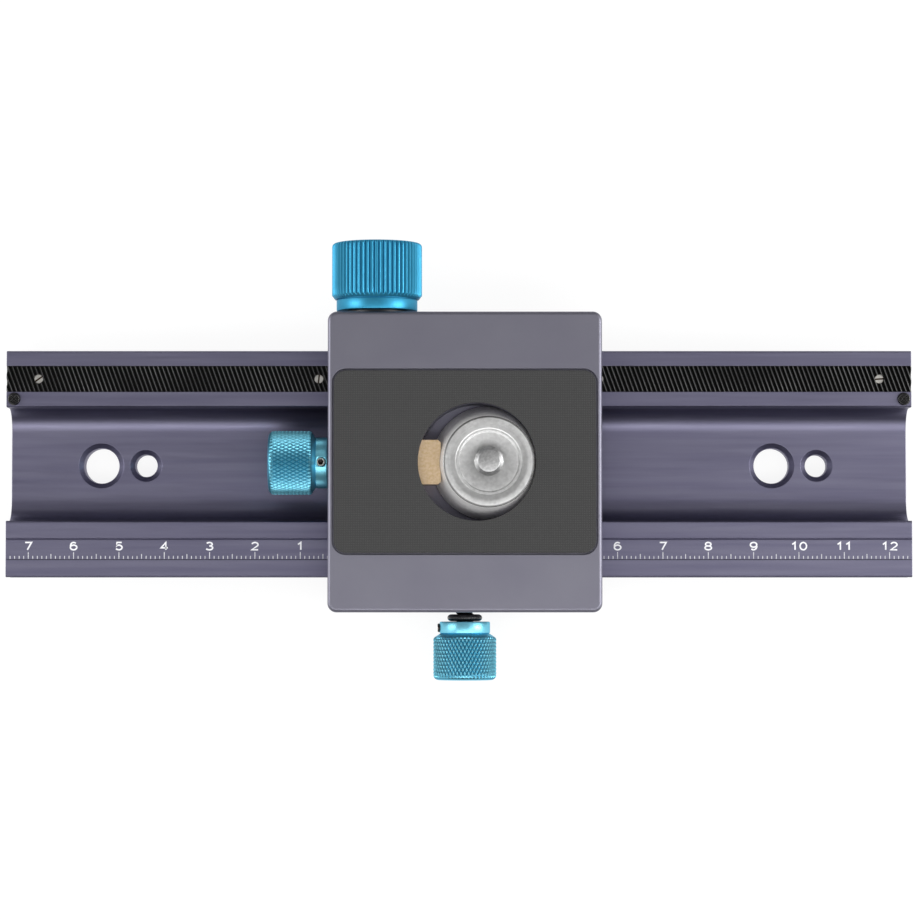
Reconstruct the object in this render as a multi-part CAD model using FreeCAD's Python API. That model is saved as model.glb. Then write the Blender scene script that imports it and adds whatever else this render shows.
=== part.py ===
# Macro focusing rail: a channel rail with a helical rack, and a geared carriage that clamps a camera button.
# Millimetres. X runs along the rail, +Y towards the focus knob, +Z up. The origin is under the rail's middle.
import FreeCAD, Part
import math
import os

V = FreeCAD.Vector

# --- rail ------------------------------------------------------------------------------------------------
rail_length = 200.0
rail_width = 50.0
rail_height = 16.0
lip_width = 12.45  # solid lip each side of the open channel
channel_fillet = 5.0
floor_thickness = 6.0
edge_break = 0.35  # small chamfer on machined edges
run_out = 1.0  # how far a cut runs past the face that it opens
near = 0.01  # edges and faces this close to a height are on it
foot_width = 38.0  # dovetail foot for a quick-release tripod clamp
foot_edge = 1.2  # upright edge under the dovetail flank
foot_flank = 3.2  # the flank rises and narrows by this at 45 degrees
body_underside = 7.0  # where the rail widens again above the foot
groove_height = 11.0  # middle of the side V-grooves
groove_depth = 2.5
groove_root = 0.8  # flat at the bottom of a V-groove
rib_blunt = 0.35  # how much shorter a V-rib is than its groove
scale_line_inset = 4.0  # fine engraved line, measured from the channel lip
scale_line_width = 0.45

# --- threaded holes in the floor: 3/8-16 and 1/4-20 at their drilled size --------------------------------
big_thread_drill = 8.1
small_thread_drill = 5.2
thread_chamfer = 0.7
hole_end_inset = 20.0  # outermost hole to the rail's end: 3/8 on the left, 1/4 on the right
hole_spacing = 10.0  # from it to the hole of the other size

# --- rack and pinion -------------------------------------------------------------------------------------
tooth_module = 0.3  # in the normal plane
helix_angle = 20.0
pressure_angle = 20.0
pinion_teeth = 20
section_share = 0.35  # of a tooth's step: the most that the helix turns by between two drawn sections
root_clearance = 0.25  # of the module
backlash = 0.05
rack_width = 5.6
rack_gap = 0.075  # rack to groove wall, each side
rack_thickness = 3.2
rack_edge_inset = 3.3  # groove wall to the rail's outer edge
rack_screw_count = 4
rack_screw_inset = 7.0  # outermost rack screws to the rail's ends
rack_screw_head = 1.9
rack_screw_head_height = 0.9
rack_screw_shank = 1.2
rack_screw_length = 5.2
screw_slot = 0.35
first_slot_angle = 35.0  # the screws stop at whatever angle they are tight
slot_angle_step = 50.0

# --- end stops -------------------------------------------------------------------------------------------
stop_inset = 1.7  # stop screw centre to the rail's end
stop_head = 2.8
stop_head_height = 0.8
stop_cross = 2.0  # length of the cross recess
stop_shank = 1.6
stop_length = 5.0
stop_lip_inset = 1.6  # stop screw centre to the rack groove's wall

# --- carriage --------------------------------------------------------------------------------------------
carriage_place = 1.3  # where the carriage stands along the rail
carriage_length = 59.7
jaw_wall = 7.45  # side walls of the carriage
carriage_rise = 12.3  # top of the carriage above the rail's lips
carriage_corner = 2.0
carriage_round = 0.8  # along the rims of the top
jaw_bottom = 6.3
slide_gap = 0.3  # carriage over the rail's lips, and jaw beside the rail
guide_play = 0.07  # V-guide, measured square to its flank
keel_depth = 2.0  # how far the middle of the carriage reaches down into the channel
keel_gap = 0.4

# --- grip pad --------------------------------------------------------------------------------------------
pad_end_inset = 1.35  # carriage's end to the pad
pad_side_inset = 12.9
pad_corner = 2.7
pad_recess = 1.0
pad_proud = 0.45
pad_gap = 0.4  # pad to the wall of its recess
pad_edge = 0.15

# --- socket and camera button ----------------------------------------------------------------------------
socket_offset = 2.6  # way in for the button, from the carriage's middle
socket_diameter = 25.7
seat_offset = 5.2  # where the button is clamped, from the carriage's middle
socket_floor = 3.95  # material under the socket
button_base = 25.0
button_rim = 1.6
button_top = 19.8
button_height = 10.4
button_dish = 14.4  # shallow turned recess in the top
button_dish_depth = 0.25
button_edge = 0.4
seat_play = 0.06
seat_run_out = 3.0  # the seat's cone is cut on above the button
button_play = 0.05  # under the button

# --- camera screw 1/4-20 ---------------------------------------------------------------------------------
camera_thread = 6.35
camera_reach = 4.5  # thread standing above the button
camera_neck_diameter = 4.9  # turns free in the button's thread, which holds it
camera_thread_drill = 5.2
camera_head = 11.0
camera_head_height = 1.7
camera_head_sink = 0.5
camera_chamfer = 0.8
camera_slot = 1.3
turn_play = 0.05  # radial play of a turning screw or shaft

# --- clamp shoe and its screw ----------------------------------------------------------------------------
shoe_width = 9.7
shoe_height = 7.9
shoe_length = 11.6
shoe_corner = 0.6
shoe_play = 0.06
shoe_reach = 5.25  # tip of the shoe, left of the carriage's middle
shoe_travel = 5.0
shoe_nose_gap = 0.06
clamp_axis_rise = 3.1  # clamp screw above the socket's floor
clamp_thread = 5.0
clamp_pitch = 0.8
hook_head = 4.2  # button end of the screw, held in the shoe's T-slot
hook_neck = 2.8
hook_head_length = 1.2
hook_neck_length = 1.4
hook_play = 0.1

# --- small knobs -----------------------------------------------------------------------------------------
knob_grip = 14.0
knob_grip_length = 9.35
knob_chamfer = 1.1
knob_neck = 8.6
knob_neck_length = 0.85
knob_collar = 11.1
knob_collar_length = 2.75
knob_end_wall = 3.0  # solid end of the knob beyond the screw
collar_chamfer = 0.4
set_screw = 2.1
set_screw_length = 2.6
set_screw_socket = 1.2  # across flats
knob_gap = 0.2  # collar to the carriage
fit_play = 0.01  # pieces fixed together

# --- lock gib, lock screw, O-ring ------------------------------------------------------------------------
gib_end_inset = 0.5  # gib to the carriage's end
gib_height = 7.0
gib_thickness = 3.1
gib_play = 0.05
gib_back_gap = 0.2
lock_open = 0.32  # gap square to the flank while unlocked
lock_travel = 0.35
lock_thread = 4.0
lock_pitch = 0.7
o_ring_section = 1.6
o_ring_sides = 12  # of its section
o_ring_gap = 0.4  # O-ring to the carriage while unlocked
adjuster_diameter = 3.0
adjuster_spacing = 40.0
adjuster_sink = 0.3
adjuster_socket = 1.5
adjuster_cone = 0.6

# --- focus drive -----------------------------------------------------------------------------------------
shaft_inset = 10.5  # drive shaft to the carriage's left end
shaft_diameter = 4.0  # outer journal, through to the knob
shaft_inner_diameter = 3.0  # inner journal, low enough in the carriage to need the smaller size
shaft_shoulder = 4.6
mesh_play = 0.02  # extra centre distance of the pinion
pinion_side_play = 0.15
pinion_room = 0.4
bush_wall = 0.7
inner_bush_length = 4.5
outer_bush_flange = 1.0
outer_bush_rim = 1.2
washer_overhang = 1.5  # washer beyond the outer bush's flange
washer_thickness = 0.6
washer_play = 0.08
focus_grip = 19.8
focus_grip_length = 12.1
focus_flutes = 60
flute_depth = 0.45
flute_land = 0.36  # share of each flute's pitch left standing
flute_root = 0.68  # where the flute is deepest, as a share of its pitch
focus_collar = 17.4
focus_collar_length = 2.4
focus_neck_length = 0.45
focus_edge = 0.6
focus_end_wall = 4.0

# --- worked out from the sizes above ---------------------------------------------------------------------
half_width = rail_width / 2
half_channel = half_width - lip_width
big_hole_places = (hole_end_inset - rail_length / 2, rail_length / 2 - hole_end_inset - hole_spacing)
small_hole_places = (big_hole_places[0] + hole_spacing, big_hole_places[1] + hole_spacing)
rack_screw_step = (rail_length - 2 * rack_screw_inset) / (rack_screw_count - 1)
rack_screw_places = [rack_screw_inset - rail_length / 2 + i * rack_screw_step for i in range(rack_screw_count)]
helix = math.radians(helix_angle)
transverse_pitch = math.pi * tooth_module / math.cos(helix)
transverse_angle = math.atan(math.tan(math.radians(pressure_angle)) / math.cos(helix))
pitch_radius = pinion_teeth * transverse_pitch / (2 * math.pi)
tip_radius = pitch_radius + tooth_module
root_depth = tooth_module * (1 + root_clearance)
rack_groove_width = rack_width + 2 * rack_gap
rack_centre = half_width - rack_edge_inset - rack_groove_width / 2
rack_bottom = rail_height - rack_thickness
shaft_height = rail_height - tooth_module + pitch_radius + mesh_play
carriage_top = rail_height + carriage_rise
carriage_underside = rail_height + slide_gap
jaw_inner = half_width + slide_gap
jaw_outer = jaw_inner + jaw_wall
carriage_width = 2 * jaw_outer
pad_length = carriage_length - 2 * pad_end_inset
pad_width = carriage_width - 2 * pad_side_inset
gib_length = carriage_length - 2 * gib_end_inset
keel_bottom = rail_height - keel_depth
keel_half = half_channel - keel_gap
socket_bottom = keel_bottom + socket_floor
socket_x = carriage_place + socket_offset
seat_x = carriage_place + seat_offset
button_bottom = socket_bottom + button_play
button_radius = button_base / 2
button_slope = (button_base - button_top) / 2 / (button_height - button_rim)
clamp_height = socket_bottom + clamp_axis_rise
shoe_bottom = socket_bottom + shoe_play
shoe_top = shoe_bottom + shoe_height
shoe_tip = carriage_place - shoe_reach
shoe_back = shoe_tip - shoe_length
pocket_end = shoe_back - shoe_travel - shoe_play
carriage_left = carriage_place - carriage_length / 2
shaft_x = carriage_left + shaft_inset
lock_out = jaw_outer + o_ring_gap
flank_slope = math.sqrt(2)  # sideways shift for a gap of one, square to a 45 degree flank
gib_face = jaw_inner + lock_travel
gib_back = gib_face + gib_thickness
gib_pocket = gib_back + gib_back_gap
pinion_half = rack_width / 2
room_half = pinion_half + pinion_side_play
inner_bush_radius = shaft_inner_diameter / 2 + bush_wall
outer_bush_radius = tip_radius + pinion_room  # the pinion goes in through the outer bore
focus_start = jaw_outer + washer_thickness + 2 * washer_play


def box(x0, y0, z0, x1, y1, z1):
    return Part.makeBox(x1 - x0, y1 - y0, z1 - z0, V(x0, y0, z0))


def cylinder(radius, start, axis, length):
    return Part.makeCylinder(radius, length, V(*start), V(*axis))


def turned(outline, start, axis):
    """Revolve an outline of (radius, distance) points around an axis through start."""
    spun = Part.Face(Part.makePolygon([V(r, 0, d) for r, d in outline + outline[:1]])).revolve(
        V(0, 0, 0), V(0, 0, 1), 360)
    turn = FreeCAD.Rotation(V(0, 0, 1), V(*axis))
    spun.Placement = FreeCAD.Placement(V(*start), turn)
    return spun


def hexagon(flats, start, axis, depth):
    """Hexagonal socket, cut along an axis from start."""
    corner = flats / math.sqrt(3)
    points = [V(corner * math.cos(math.radians(60 * i)), corner * math.sin(math.radians(60 * i)), 0)
              for i in range(7)]
    socket = Part.Face(Part.makePolygon(points)).extrude(V(0, 0, depth))
    socket.Placement = FreeCAD.Placement(V(*start), FreeCAD.Rotation(V(0, 0, 1), V(*axis)))
    return socket


def along_rail(points, length, middle=0.0):
    """Straight bar along X with a (y, z) outline."""
    start = middle - length / 2
    outline = [V(start, y, z) for y, z in points]
    return Part.Face(Part.makePolygon(outline + outline[:1])).extrude(V(length, 0, 0))


def slab(x_middle, length, width, corner, z0, z1):
    """Upright-cornered plate centred on the rail."""
    plate = box(x_middle - length / 2, -width / 2, z0, x_middle + length / 2, width / 2, z1)
    upright = [e for e in plate.Edges if abs(e.tangentAt(e.FirstParameter).z) > 0.9]
    return plate.makeFillet(corner, upright)


def fused(shapes):
    whole = shapes[0].fuse(shapes[1:]) if len(shapes) > 1 else shapes[0]
    return whole.removeSplitter()


def rib_outline(face, play, side):
    """(y, z) outline of a V-rib that stands on |y| = face and has this play, square to the groove's flank."""
    tip = half_width - groove_depth + play * flank_slope + rib_blunt
    tip_half = groove_root / 2 + rib_blunt
    foot_half = tip_half + face - tip
    return [(side * face, groove_height - foot_half), (side * tip, groove_height - tip_half),
            (side * tip, groove_height + tip_half), (side * face, groove_height + foot_half)]


# --- rail body -------------------------------------------------------------------------------------------
def rail_outline():
    foot = foot_width / 2
    waist = foot - foot_flank
    edge = edge_break
    v_mouth = groove_root / 2 + groove_depth
    right = [
        (foot - edge, 0), (foot, edge), (foot, foot_edge), (waist, foot_edge + foot_flank),
        (waist, body_underside), (half_width - edge, body_underside), (half_width, body_underside + edge),
        (half_width, groove_height - v_mouth), (half_width - groove_depth, groove_height - groove_root / 2),
        (half_width - groove_depth, groove_height + groove_root / 2), (half_width, groove_height + v_mouth),
        (half_width, rail_height - edge), (half_width - edge, rail_height),
        (half_channel + edge, rail_height), (half_channel, rail_height - edge), (half_channel, floor_thickness)]
    return right + [(-y, z) for y, z in reversed(right)]


def floor_hole(x, drill):
    deep = floor_thickness + thread_chamfer
    hole = cylinder(drill / 2, (x, 0, -thread_chamfer), (0, 0, 1), deep + thread_chamfer)
    wide = drill / 2 + thread_chamfer
    top = Part.makeCone(drill / 2, wide, thread_chamfer, V(x, 0, floor_thickness - thread_chamfer), V(0, 0, 1))
    mouth = cylinder(wide, (x, 0, floor_thickness), (0, 0, 1), thread_chamfer)
    low = Part.makeCone(wide, drill / 2, thread_chamfer, V(x, 0, 0), V(0, 0, 1))
    return hole.fuse([top, mouth, low])


def rail():
    bar = along_rail(rail_outline(), rail_length)
    low_corners = [e for e in bar.Edges if abs(e.CenterOfMass.z - floor_thickness) < near
                   and abs(abs(e.CenterOfMass.y) - half_channel) < near and e.Length > rail_length / 2]
    bar = bar.makeFillet(channel_fillet, low_corners)
    wall = rack_centre + rack_groove_width / 2
    groove = box(-rail_length, wall - rack_groove_width, rack_bottom, rail_length, wall, rail_height + run_out)
    line_y = -half_channel - scale_line_inset
    half_line = scale_line_width / 2
    line = along_rail([(line_y - half_line, rail_height), (line_y, rail_height - half_line),
                       (line_y + half_line, rail_height), (line_y, rail_height + half_line)], 2 * rail_length)
    cuts = [groove, line]
    cuts += [floor_hole(x, big_thread_drill) for x in big_hole_places]
    cuts += [floor_hole(x, small_thread_drill) for x in small_hole_places]
    cuts += [cylinder(rack_screw_shank / 2 + fit_play, (x, rack_centre, screw_head_seat() - rack_screw_length),
                      (0, 0, 1), rack_screw_length) for x in rack_screw_places]
    cuts += [cylinder(stop_shank / 2 + fit_play, (x, stop_y(), rail_height - stop_length), (0, 0, 1),
                      stop_length + run_out) for x in stop_places()]
    return bar.cut(cuts)


def rack_tooth_line(start, count):
    """(x, z) outline of the tooth row, anchored so that a gap lies over the rail's middle."""
    pitch_line = rail_height - tooth_module
    slope = math.tan(transverse_angle)
    half_tip = transverse_pitch / 4 - tooth_module * slope - backlash / 4
    half_root = transverse_pitch / 4 + root_depth * slope - backlash / 4
    points = []
    for i in range(count):
        x = start + (i + 0.5) * transverse_pitch
        points += [(x - half_root, pitch_line - root_depth), (x - half_tip, rail_height),
                   (x + half_tip, rail_height), (x + half_root, pitch_line - root_depth)]
    return points


def rack():
    slant = math.tan(helix) * rack_width
    teeth_each_way = int((rail_length / 2 + slant) / transverse_pitch) + 2
    start = -teeth_each_way * transverse_pitch
    line = rack_tooth_line(start, 2 * teeth_each_way)
    low_y = rack_centre - rack_width / 2
    shift = slant / 2
    ends = [(line[-1][0], rack_bottom), (line[0][0], rack_bottom)]
    outline = [V(x + shift, low_y, z) for x, z in line + ends]
    row = Part.Face(Part.makePolygon(outline + outline[:1])).extrude(V(-slant, rack_width, 0))
    half = rail_length / 2
    row = row.common(box(-half, low_y, rack_bottom, half, low_y + rack_width, rail_height))
    head_room = rack_screw_head / 2 + turn_play
    holes = []
    for x in rack_screw_places:
        holes.append(cylinder(rack_screw_shank / 2 + fit_play, (x, rack_centre, rack_bottom - run_out), (0, 0, 1),
                              rack_thickness + 2 * run_out))
        holes.append(cylinder(head_room, (x, rack_centre, screw_head_seat()), (0, 0, 1), rack_thickness))
    return row.cut(holes)


def screw_head_seat():
    """Top of the rack screws' seats: the heads stay under the tooth roots, clear of the pinion."""
    return rail_height - tooth_module - root_depth - turn_play - rack_screw_head_height


def rack_screws():
    seat = screw_head_seat()
    screws = []
    for i, x in enumerate(rack_screw_places):
        head = cylinder(rack_screw_head / 2, (x, rack_centre, seat), (0, 0, 1), rack_screw_head_height)
        shank = cylinder(rack_screw_shank / 2, (x, rack_centre, seat - rack_screw_length), (0, 0, 1),
                         rack_screw_length)
        slot = box(-rack_screw_head, -screw_slot / 2, -screw_slot, rack_screw_head, screw_slot / 2, screw_slot)
        slot.Placement = FreeCAD.Placement(V(x, rack_centre, seat + rack_screw_head_height),
                                           FreeCAD.Rotation(V(0, 0, 1), first_slot_angle + slot_angle_step * i))
        screws.append(fused([head, shank]).cut(slot))
    return Part.makeCompound(screws)


def stop_y():
    return rack_centre - rack_groove_width / 2 - stop_lip_inset


def stop_places():
    return (stop_inset - rail_length / 2, rail_length / 2 - stop_inset)


def end_stop_screws():
    screws = []
    arm = stop_cross / 2
    for x in stop_places():
        rim = stop_head_height / 2
        head = turned([(0, 0), (stop_head / 2, 0), (stop_head / 2, rim), (stop_head / 2 - rim / 2, 2 * rim),
                       (0, 2 * rim)], (x, stop_y(), rail_height), (0, 0, 1))
        shank = cylinder(stop_shank / 2, (x, stop_y(), rail_height - stop_length + turn_play), (0, 0, 1),
                         stop_length)
        cross = []
        for angle in (45, 135):
            slot = box(-arm, -screw_slot / 2, -stop_head_height / 2, arm, screw_slot / 2, stop_head_height)
            slot.Placement = FreeCAD.Placement(V(x, stop_y(), rail_height + stop_head_height),
                                               FreeCAD.Rotation(V(0, 0, 1), angle))
            cross.append(slot)
        screws.append(fused([head, shank]).cut(cross))
    return Part.makeCompound(screws)


# --- carriage body ---------------------------------------------------------------------------------------
def carriage_block():
    block = slab(carriage_place, carriage_length, carriage_width, carriage_corner, jaw_bottom, carriage_top)
    rims = [e for e in block.Edges if abs(e.CenterOfMass.z - carriage_top) < near]
    block = block.makeFillet(carriage_round, rims)
    reach = carriage_length
    over_lips = along_rail([(-jaw_inner, jaw_bottom - run_out), (jaw_inner, jaw_bottom - run_out),
                            (jaw_inner, carriage_underside), (-jaw_inner, carriage_underside)],
                           2 * reach, carriage_place)
    keel = box(carriage_left, -keel_half, keel_bottom, carriage_left + carriage_length, keel_half,
               carriage_underside + run_out)
    block = block.cut(over_lips.cut(keel))
    return block.fuse(fixed_guide())


def fixed_guide():
    """V-rib of the back jaw that runs in the rail's side groove."""
    return along_rail(rib_outline(jaw_inner, guide_play, 1), carriage_length, carriage_place)


def button_outline(grow=0.0, lift=0.0):
    """(radius, height) outline of the button's cone, optionally grown all round for its seat."""
    top = button_height + lift
    return [(0, -button_play if grow else 0), (button_radius + grow, -button_play if grow else 0),
            (button_radius + grow, button_rim), (button_radius + grow - button_slope * (top - button_rim), top),
            (0, top)]


def socket_cuts():
    way_in = cylinder(socket_diameter / 2, (socket_x, 0, socket_bottom), (0, 0, 1), carriage_top)
    seat = turned(button_outline(seat_play, seat_run_out), (seat_x, 0, button_bottom), (0, 0, 1))
    return [way_in, seat]


def shoe_pocket():
    half = shoe_width / 2 + shoe_play
    return box(pocket_end, -half, socket_bottom, socket_x, half, shoe_top + shoe_play)


def pad_seat():
    return slab(carriage_place, pad_length + 2 * pad_gap, pad_width + 2 * pad_gap, pad_corner + pad_gap,
                carriage_top - pad_recess, carriage_top + pad_recess)


def gib_slot():
    half = gib_height / 2 + gib_play
    return box(carriage_left - run_out, -gib_pocket, groove_height - half,
               carriage_left + carriage_length + run_out,
               -half_width, groove_height + half)


def adjuster_places():
    return (carriage_place - adjuster_spacing / 2, carriage_place + adjuster_spacing / 2)


def shaft_cuts():
    """Stepped bore from the back wall; over the rail it is open below, so that the pinion meets the rack."""
    start = rack_centre - room_half
    bore = outer_bush_radius + fit_play
    open_below = box(shaft_x - bore, start, keel_bottom, shaft_x + bore, jaw_inner, shaft_height)
    through = cylinder(bore, (shaft_x, start, shaft_height), (0, 1, 0), jaw_outer)
    inner = cylinder(inner_bush_radius + fit_play, (shaft_x, start - inner_bush_length, shaft_height),
                     (0, 1, 0), 2 * inner_bush_length)
    flange = cylinder(outer_bush_radius + outer_bush_rim + fit_play,
                      (shaft_x, jaw_outer - outer_bush_flange, shaft_height), (0, 1, 0), 2 * outer_bush_flange)
    return [open_below, through, inner, flange]


def carriage_body():
    cuts = socket_cuts() + [shoe_pocket(), pad_seat(), gib_slot()] + shaft_cuts()
    cuts.append(cylinder(clamp_thread / 2 + turn_play, (carriage_left - run_out, 0, clamp_height), (1, 0, 0),
                         pocket_end - carriage_left + 2 * run_out))
    cuts.append(cylinder(lock_thread / 2 + turn_play, (carriage_place, -jaw_outer - run_out, groove_height),
                         (0, 1, 0), jaw_outer + run_out - half_width))
    cuts += [cylinder(adjuster_diameter / 2 + fit_play, (x, -jaw_outer - run_out, groove_height), (0, 1, 0),
                      jaw_outer + run_out - half_width) for x in adjuster_places()]
    return carriage_block().cut(cuts).removeSplitter()


def grip_pad():
    top = carriage_top + pad_proud
    pad = slab(carriage_place, pad_length, pad_width, pad_corner, carriage_top - pad_recess, top)
    rims = [e for e in pad.Edges if abs(e.CenterOfMass.z - top) < near]
    pad = pad.makeChamfer(pad_edge, rims)
    return pad.cut(cylinder(socket_diameter / 2, (socket_x, 0, 0), (0, 0, 1), 2 * top))


def inner_shaft_bush():
    start = rack_centre - room_half - inner_bush_length + fit_play
    tube = cylinder(inner_bush_radius, (shaft_x, start, shaft_height), (0, 1, 0), inner_bush_length)
    return tube.cut(cylinder(shaft_inner_diameter / 2 + turn_play, (shaft_x, 0, shaft_height), (0, 1, 0),
                             jaw_outer))


def outer_shaft_bush():
    tube = cylinder(outer_bush_radius, (shaft_x, jaw_inner, shaft_height), (0, 1, 0), jaw_outer - jaw_inner)
    flange = cylinder(outer_bush_radius + outer_bush_rim,
                      (shaft_x, jaw_outer - outer_bush_flange, shaft_height), (0, 1, 0), outer_bush_flange)
    hole = cylinder(shaft_diameter / 2 + turn_play, (shaft_x, 0, shaft_height), (0, 1, 0), 2 * jaw_outer)
    return fused([tube, flange]).cut(hole)


def gib_adjusting_screws():
    screws = []
    radius = adjuster_diameter / 2
    outer = -jaw_outer + adjuster_sink
    length = jaw_outer - adjuster_sink - gib_back - gib_play
    for x in adjuster_places():
        outline = [(0, 0), (radius, 0), (radius, length - adjuster_cone), (radius - adjuster_cone, length),
                   (0, length)]
        screw = turned(outline, (x, outer, groove_height), (0, 1, 0))
        screws.append(screw.cut(hexagon(adjuster_socket, (x, outer, groove_height), (0, 1, 0),
                                        adjuster_socket)))
    return Part.makeCompound(screws)


# --- focus drive -----------------------------------------------------------------------------------------
def involute(base_radius, radius):
    """Angle that an involute has turned by when it reaches a radius."""
    pressure = math.acos(min(1.0, base_radius / radius))
    return math.tan(pressure) - pressure


def tooth_edges(middle):
    """One tooth of the pinion around an angle: root, two flanks and tip, in the (x, z) plane."""
    base = pitch_radius * math.cos(transverse_angle)
    root = pitch_radius - root_depth
    at_pitch = (transverse_pitch / 2 - backlash / 2) / (2 * pitch_radius)
    half_step = math.pi / pinion_teeth

    def half_at(radius):
        return at_pitch + involute(base, pitch_radius) - involute(base, radius)

    def at(radius, turn):
        return V(radius * math.sin(middle + turn), 0, -radius * math.cos(middle + turn))

    def flank(side):
        return [at(radius, side * half_at(radius)) for radius in (base, (base + tip_radius) / 2, tip_radius)]

    low = at(root, -half_at(base))
    high = at(root, half_at(base))
    edges = [Part.LineSegment(low, flank(-1)[0]), Part.Arc(*flank(-1)),
             Part.Arc(flank(-1)[-1], at(tip_radius, 0), flank(1)[-1]), Part.Arc(*reversed(flank(1))),
             Part.LineSegment(flank(1)[0], high),
             Part.Arc(high, at(root, half_step), at(root, 2 * half_step - half_at(base)))]
    return [e.toShape() for e in edges]


def pinion():
    """Helical teeth: the same section all along, turned by the helix, with a tooth in a rack gap at rest."""
    edges = []
    for i in range(pinion_teeth):
        edges += tooth_edges(2 * math.pi * i / pinion_teeth)
    section = Part.Wire(edges)
    nearest_gap = round(shaft_x / transverse_pitch) * transverse_pitch
    rest_turn = -math.degrees((nearest_gap - shaft_x) / pitch_radius)
    turn_rate = math.degrees(math.tan(helix) / pitch_radius)
    steps = math.ceil(turn_rate * rack_width / (section_share * 360 / pinion_teeth))
    sections = []
    for i in range(steps + 1):
        y = -pinion_half + i * rack_width / steps
        wire = section.copy()
        wire.Placement = FreeCAD.Placement(V(shaft_x, rack_centre + y, shaft_height),
                                           FreeCAD.Rotation(V(0, 1, 0), rest_turn + turn_rate * y))
        sections.append(wire)
    return Part.makeLoft(sections, True, True)


def pinion_shaft():
    """Inner journal, teeth, shoulder and outer journal, turned from one bar."""
    start = rack_centre - room_half - inner_bush_length + fit_play
    end = focus_start + focus_collar_length + focus_neck_length + focus_grip_length - focus_end_wall
    shoulder = jaw_inner - pinion_side_play
    inner = shaft_inner_diameter / 2
    outer = shaft_diameter / 2
    rod = turned([(0, start), (inner - edge_break, start), (inner, start + edge_break), (inner, rack_centre),
                  (shaft_shoulder / 2, rack_centre), (shaft_shoulder / 2, shoulder), (outer, shoulder),
                  (outer, end - edge_break), (outer - edge_break, end), (0, end)],
                 (shaft_x, 0, shaft_height), (0, 1, 0))
    return pinion().fuse(rod)


def shaft_thrust_washer():
    start = jaw_outer + washer_play
    outer = outer_bush_radius + outer_bush_rim + washer_overhang
    ring = cylinder(outer, (shaft_x, start, shaft_height), (0, 1, 0), washer_thickness)
    return ring.cut(cylinder(shaft_diameter / 2 + fit_play, (shaft_x, 0, shaft_height), (0, 1, 0),
                             2 * jaw_outer))


def fluted_grip(start):
    """Straight-fluted grip: V-shaped flutes around a turned blank with broken edges."""
    outer = focus_grip / 2
    blank = turned([(0, 0), (outer - focus_edge, 0), (outer, focus_edge),
                    (outer, focus_grip_length - focus_edge), (outer - focus_edge, focus_grip_length),
                    (0, focus_grip_length)], (shaft_x, start, shaft_height), (0, 1, 0))
    step = 2 * math.pi / focus_flutes
    points = []
    for i in range(focus_flutes):
        for radius, share in ((outer, 0.0), (outer, flute_land), (outer - flute_depth, flute_root)):
            angle = (i + share) * step
            points.append(V(shaft_x + radius * math.cos(angle), start, shaft_height + radius * math.sin(angle)))
    flutes = Part.Face(Part.makePolygon(points + points[:1])).extrude(V(0, focus_grip_length, 0))
    return blank.common(flutes)


def focus_knob():
    neck_start = focus_start + focus_collar_length
    grip_start = neck_start + focus_neck_length
    collar = turned([(0, 0), (focus_collar / 2 - collar_chamfer, 0), (focus_collar / 2, collar_chamfer),
                     (focus_collar / 2, focus_collar_length), (focus_collar / 2 - focus_neck_length,
                      focus_collar_length + focus_neck_length), (0, focus_collar_length + focus_neck_length)],
                    (shaft_x, focus_start, shaft_height), (0, 1, 0))
    body = collar.fuse(fluted_grip(grip_start))
    depth = focus_collar_length + focus_neck_length + focus_grip_length - focus_end_wall
    bore = cylinder(shaft_diameter / 2 + fit_play, (shaft_x, focus_start - run_out, shaft_height), (0, 1, 0),
                    depth + run_out + turn_play)
    hole = cylinder(set_screw / 2 + fit_play, (shaft_x, focus_start + focus_collar_length / 2, shaft_height),
                    (0, 0, -1), focus_collar)
    return body.cut([bore, hole])


def set_screw_at(start, axis):
    """Socket set screw: start is its outer end, axis points at the shaft."""
    screw = cylinder(set_screw / 2, start, axis, set_screw_length)
    return screw.cut(hexagon(set_screw_socket, start, axis, set_screw_socket))


def focus_knob_set_screw():
    outer = shaft_height - shaft_diameter / 2 - fit_play - set_screw_length
    return set_screw_at((shaft_x, focus_start + focus_collar_length / 2, outer), (0, 0, 1))


# --- small knobs -----------------------------------------------------------------------------------------
def small_knob(start, axis, screw, side):
    """Collar, neck and grip outwards along an axis, with a blind bore for the screw and a set screw hole."""
    grip_start = knob_collar_length + knob_neck_length
    length = grip_start + knob_grip_length
    grip = knob_grip / 2
    collar = knob_collar / 2
    body = turned([(0, 0), (collar - collar_chamfer, 0), (collar, collar_chamfer), (collar, knob_collar_length),
                   (knob_neck / 2, knob_collar_length), (knob_neck / 2, grip_start), (grip, grip_start),
                   (grip, length - knob_chamfer), (grip - knob_chamfer / 2, length), (0, length)], start, axis)
    bore = cylinder(screw / 2 + fit_play, start, axis, length - knob_end_wall + turn_play)
    middle = V(*start) + V(*axis) * (knob_collar_length / 2)
    hole = cylinder(set_screw / 2 + fit_play, tuple(middle), side, knob_collar)
    return body.cut([bore, hole])


def knob_set_screw(start, axis, screw, side):
    outer = screw / 2 + fit_play + set_screw_length
    place = V(*start) + V(*axis) * (knob_collar_length / 2) + V(*side) * outer
    return set_screw_at(tuple(place), tuple(V(*side) * -1))


def knob_screw_length():
    return knob_collar_length + knob_neck_length + knob_grip_length - knob_end_wall


# --- clamp -----------------------------------------------------------------------------------------------
clamp_start = (carriage_left - knob_gap, 0, clamp_height)
clamp_axis = (-1, 0, 0)
clamp_side = (0, 0, 1)


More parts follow.
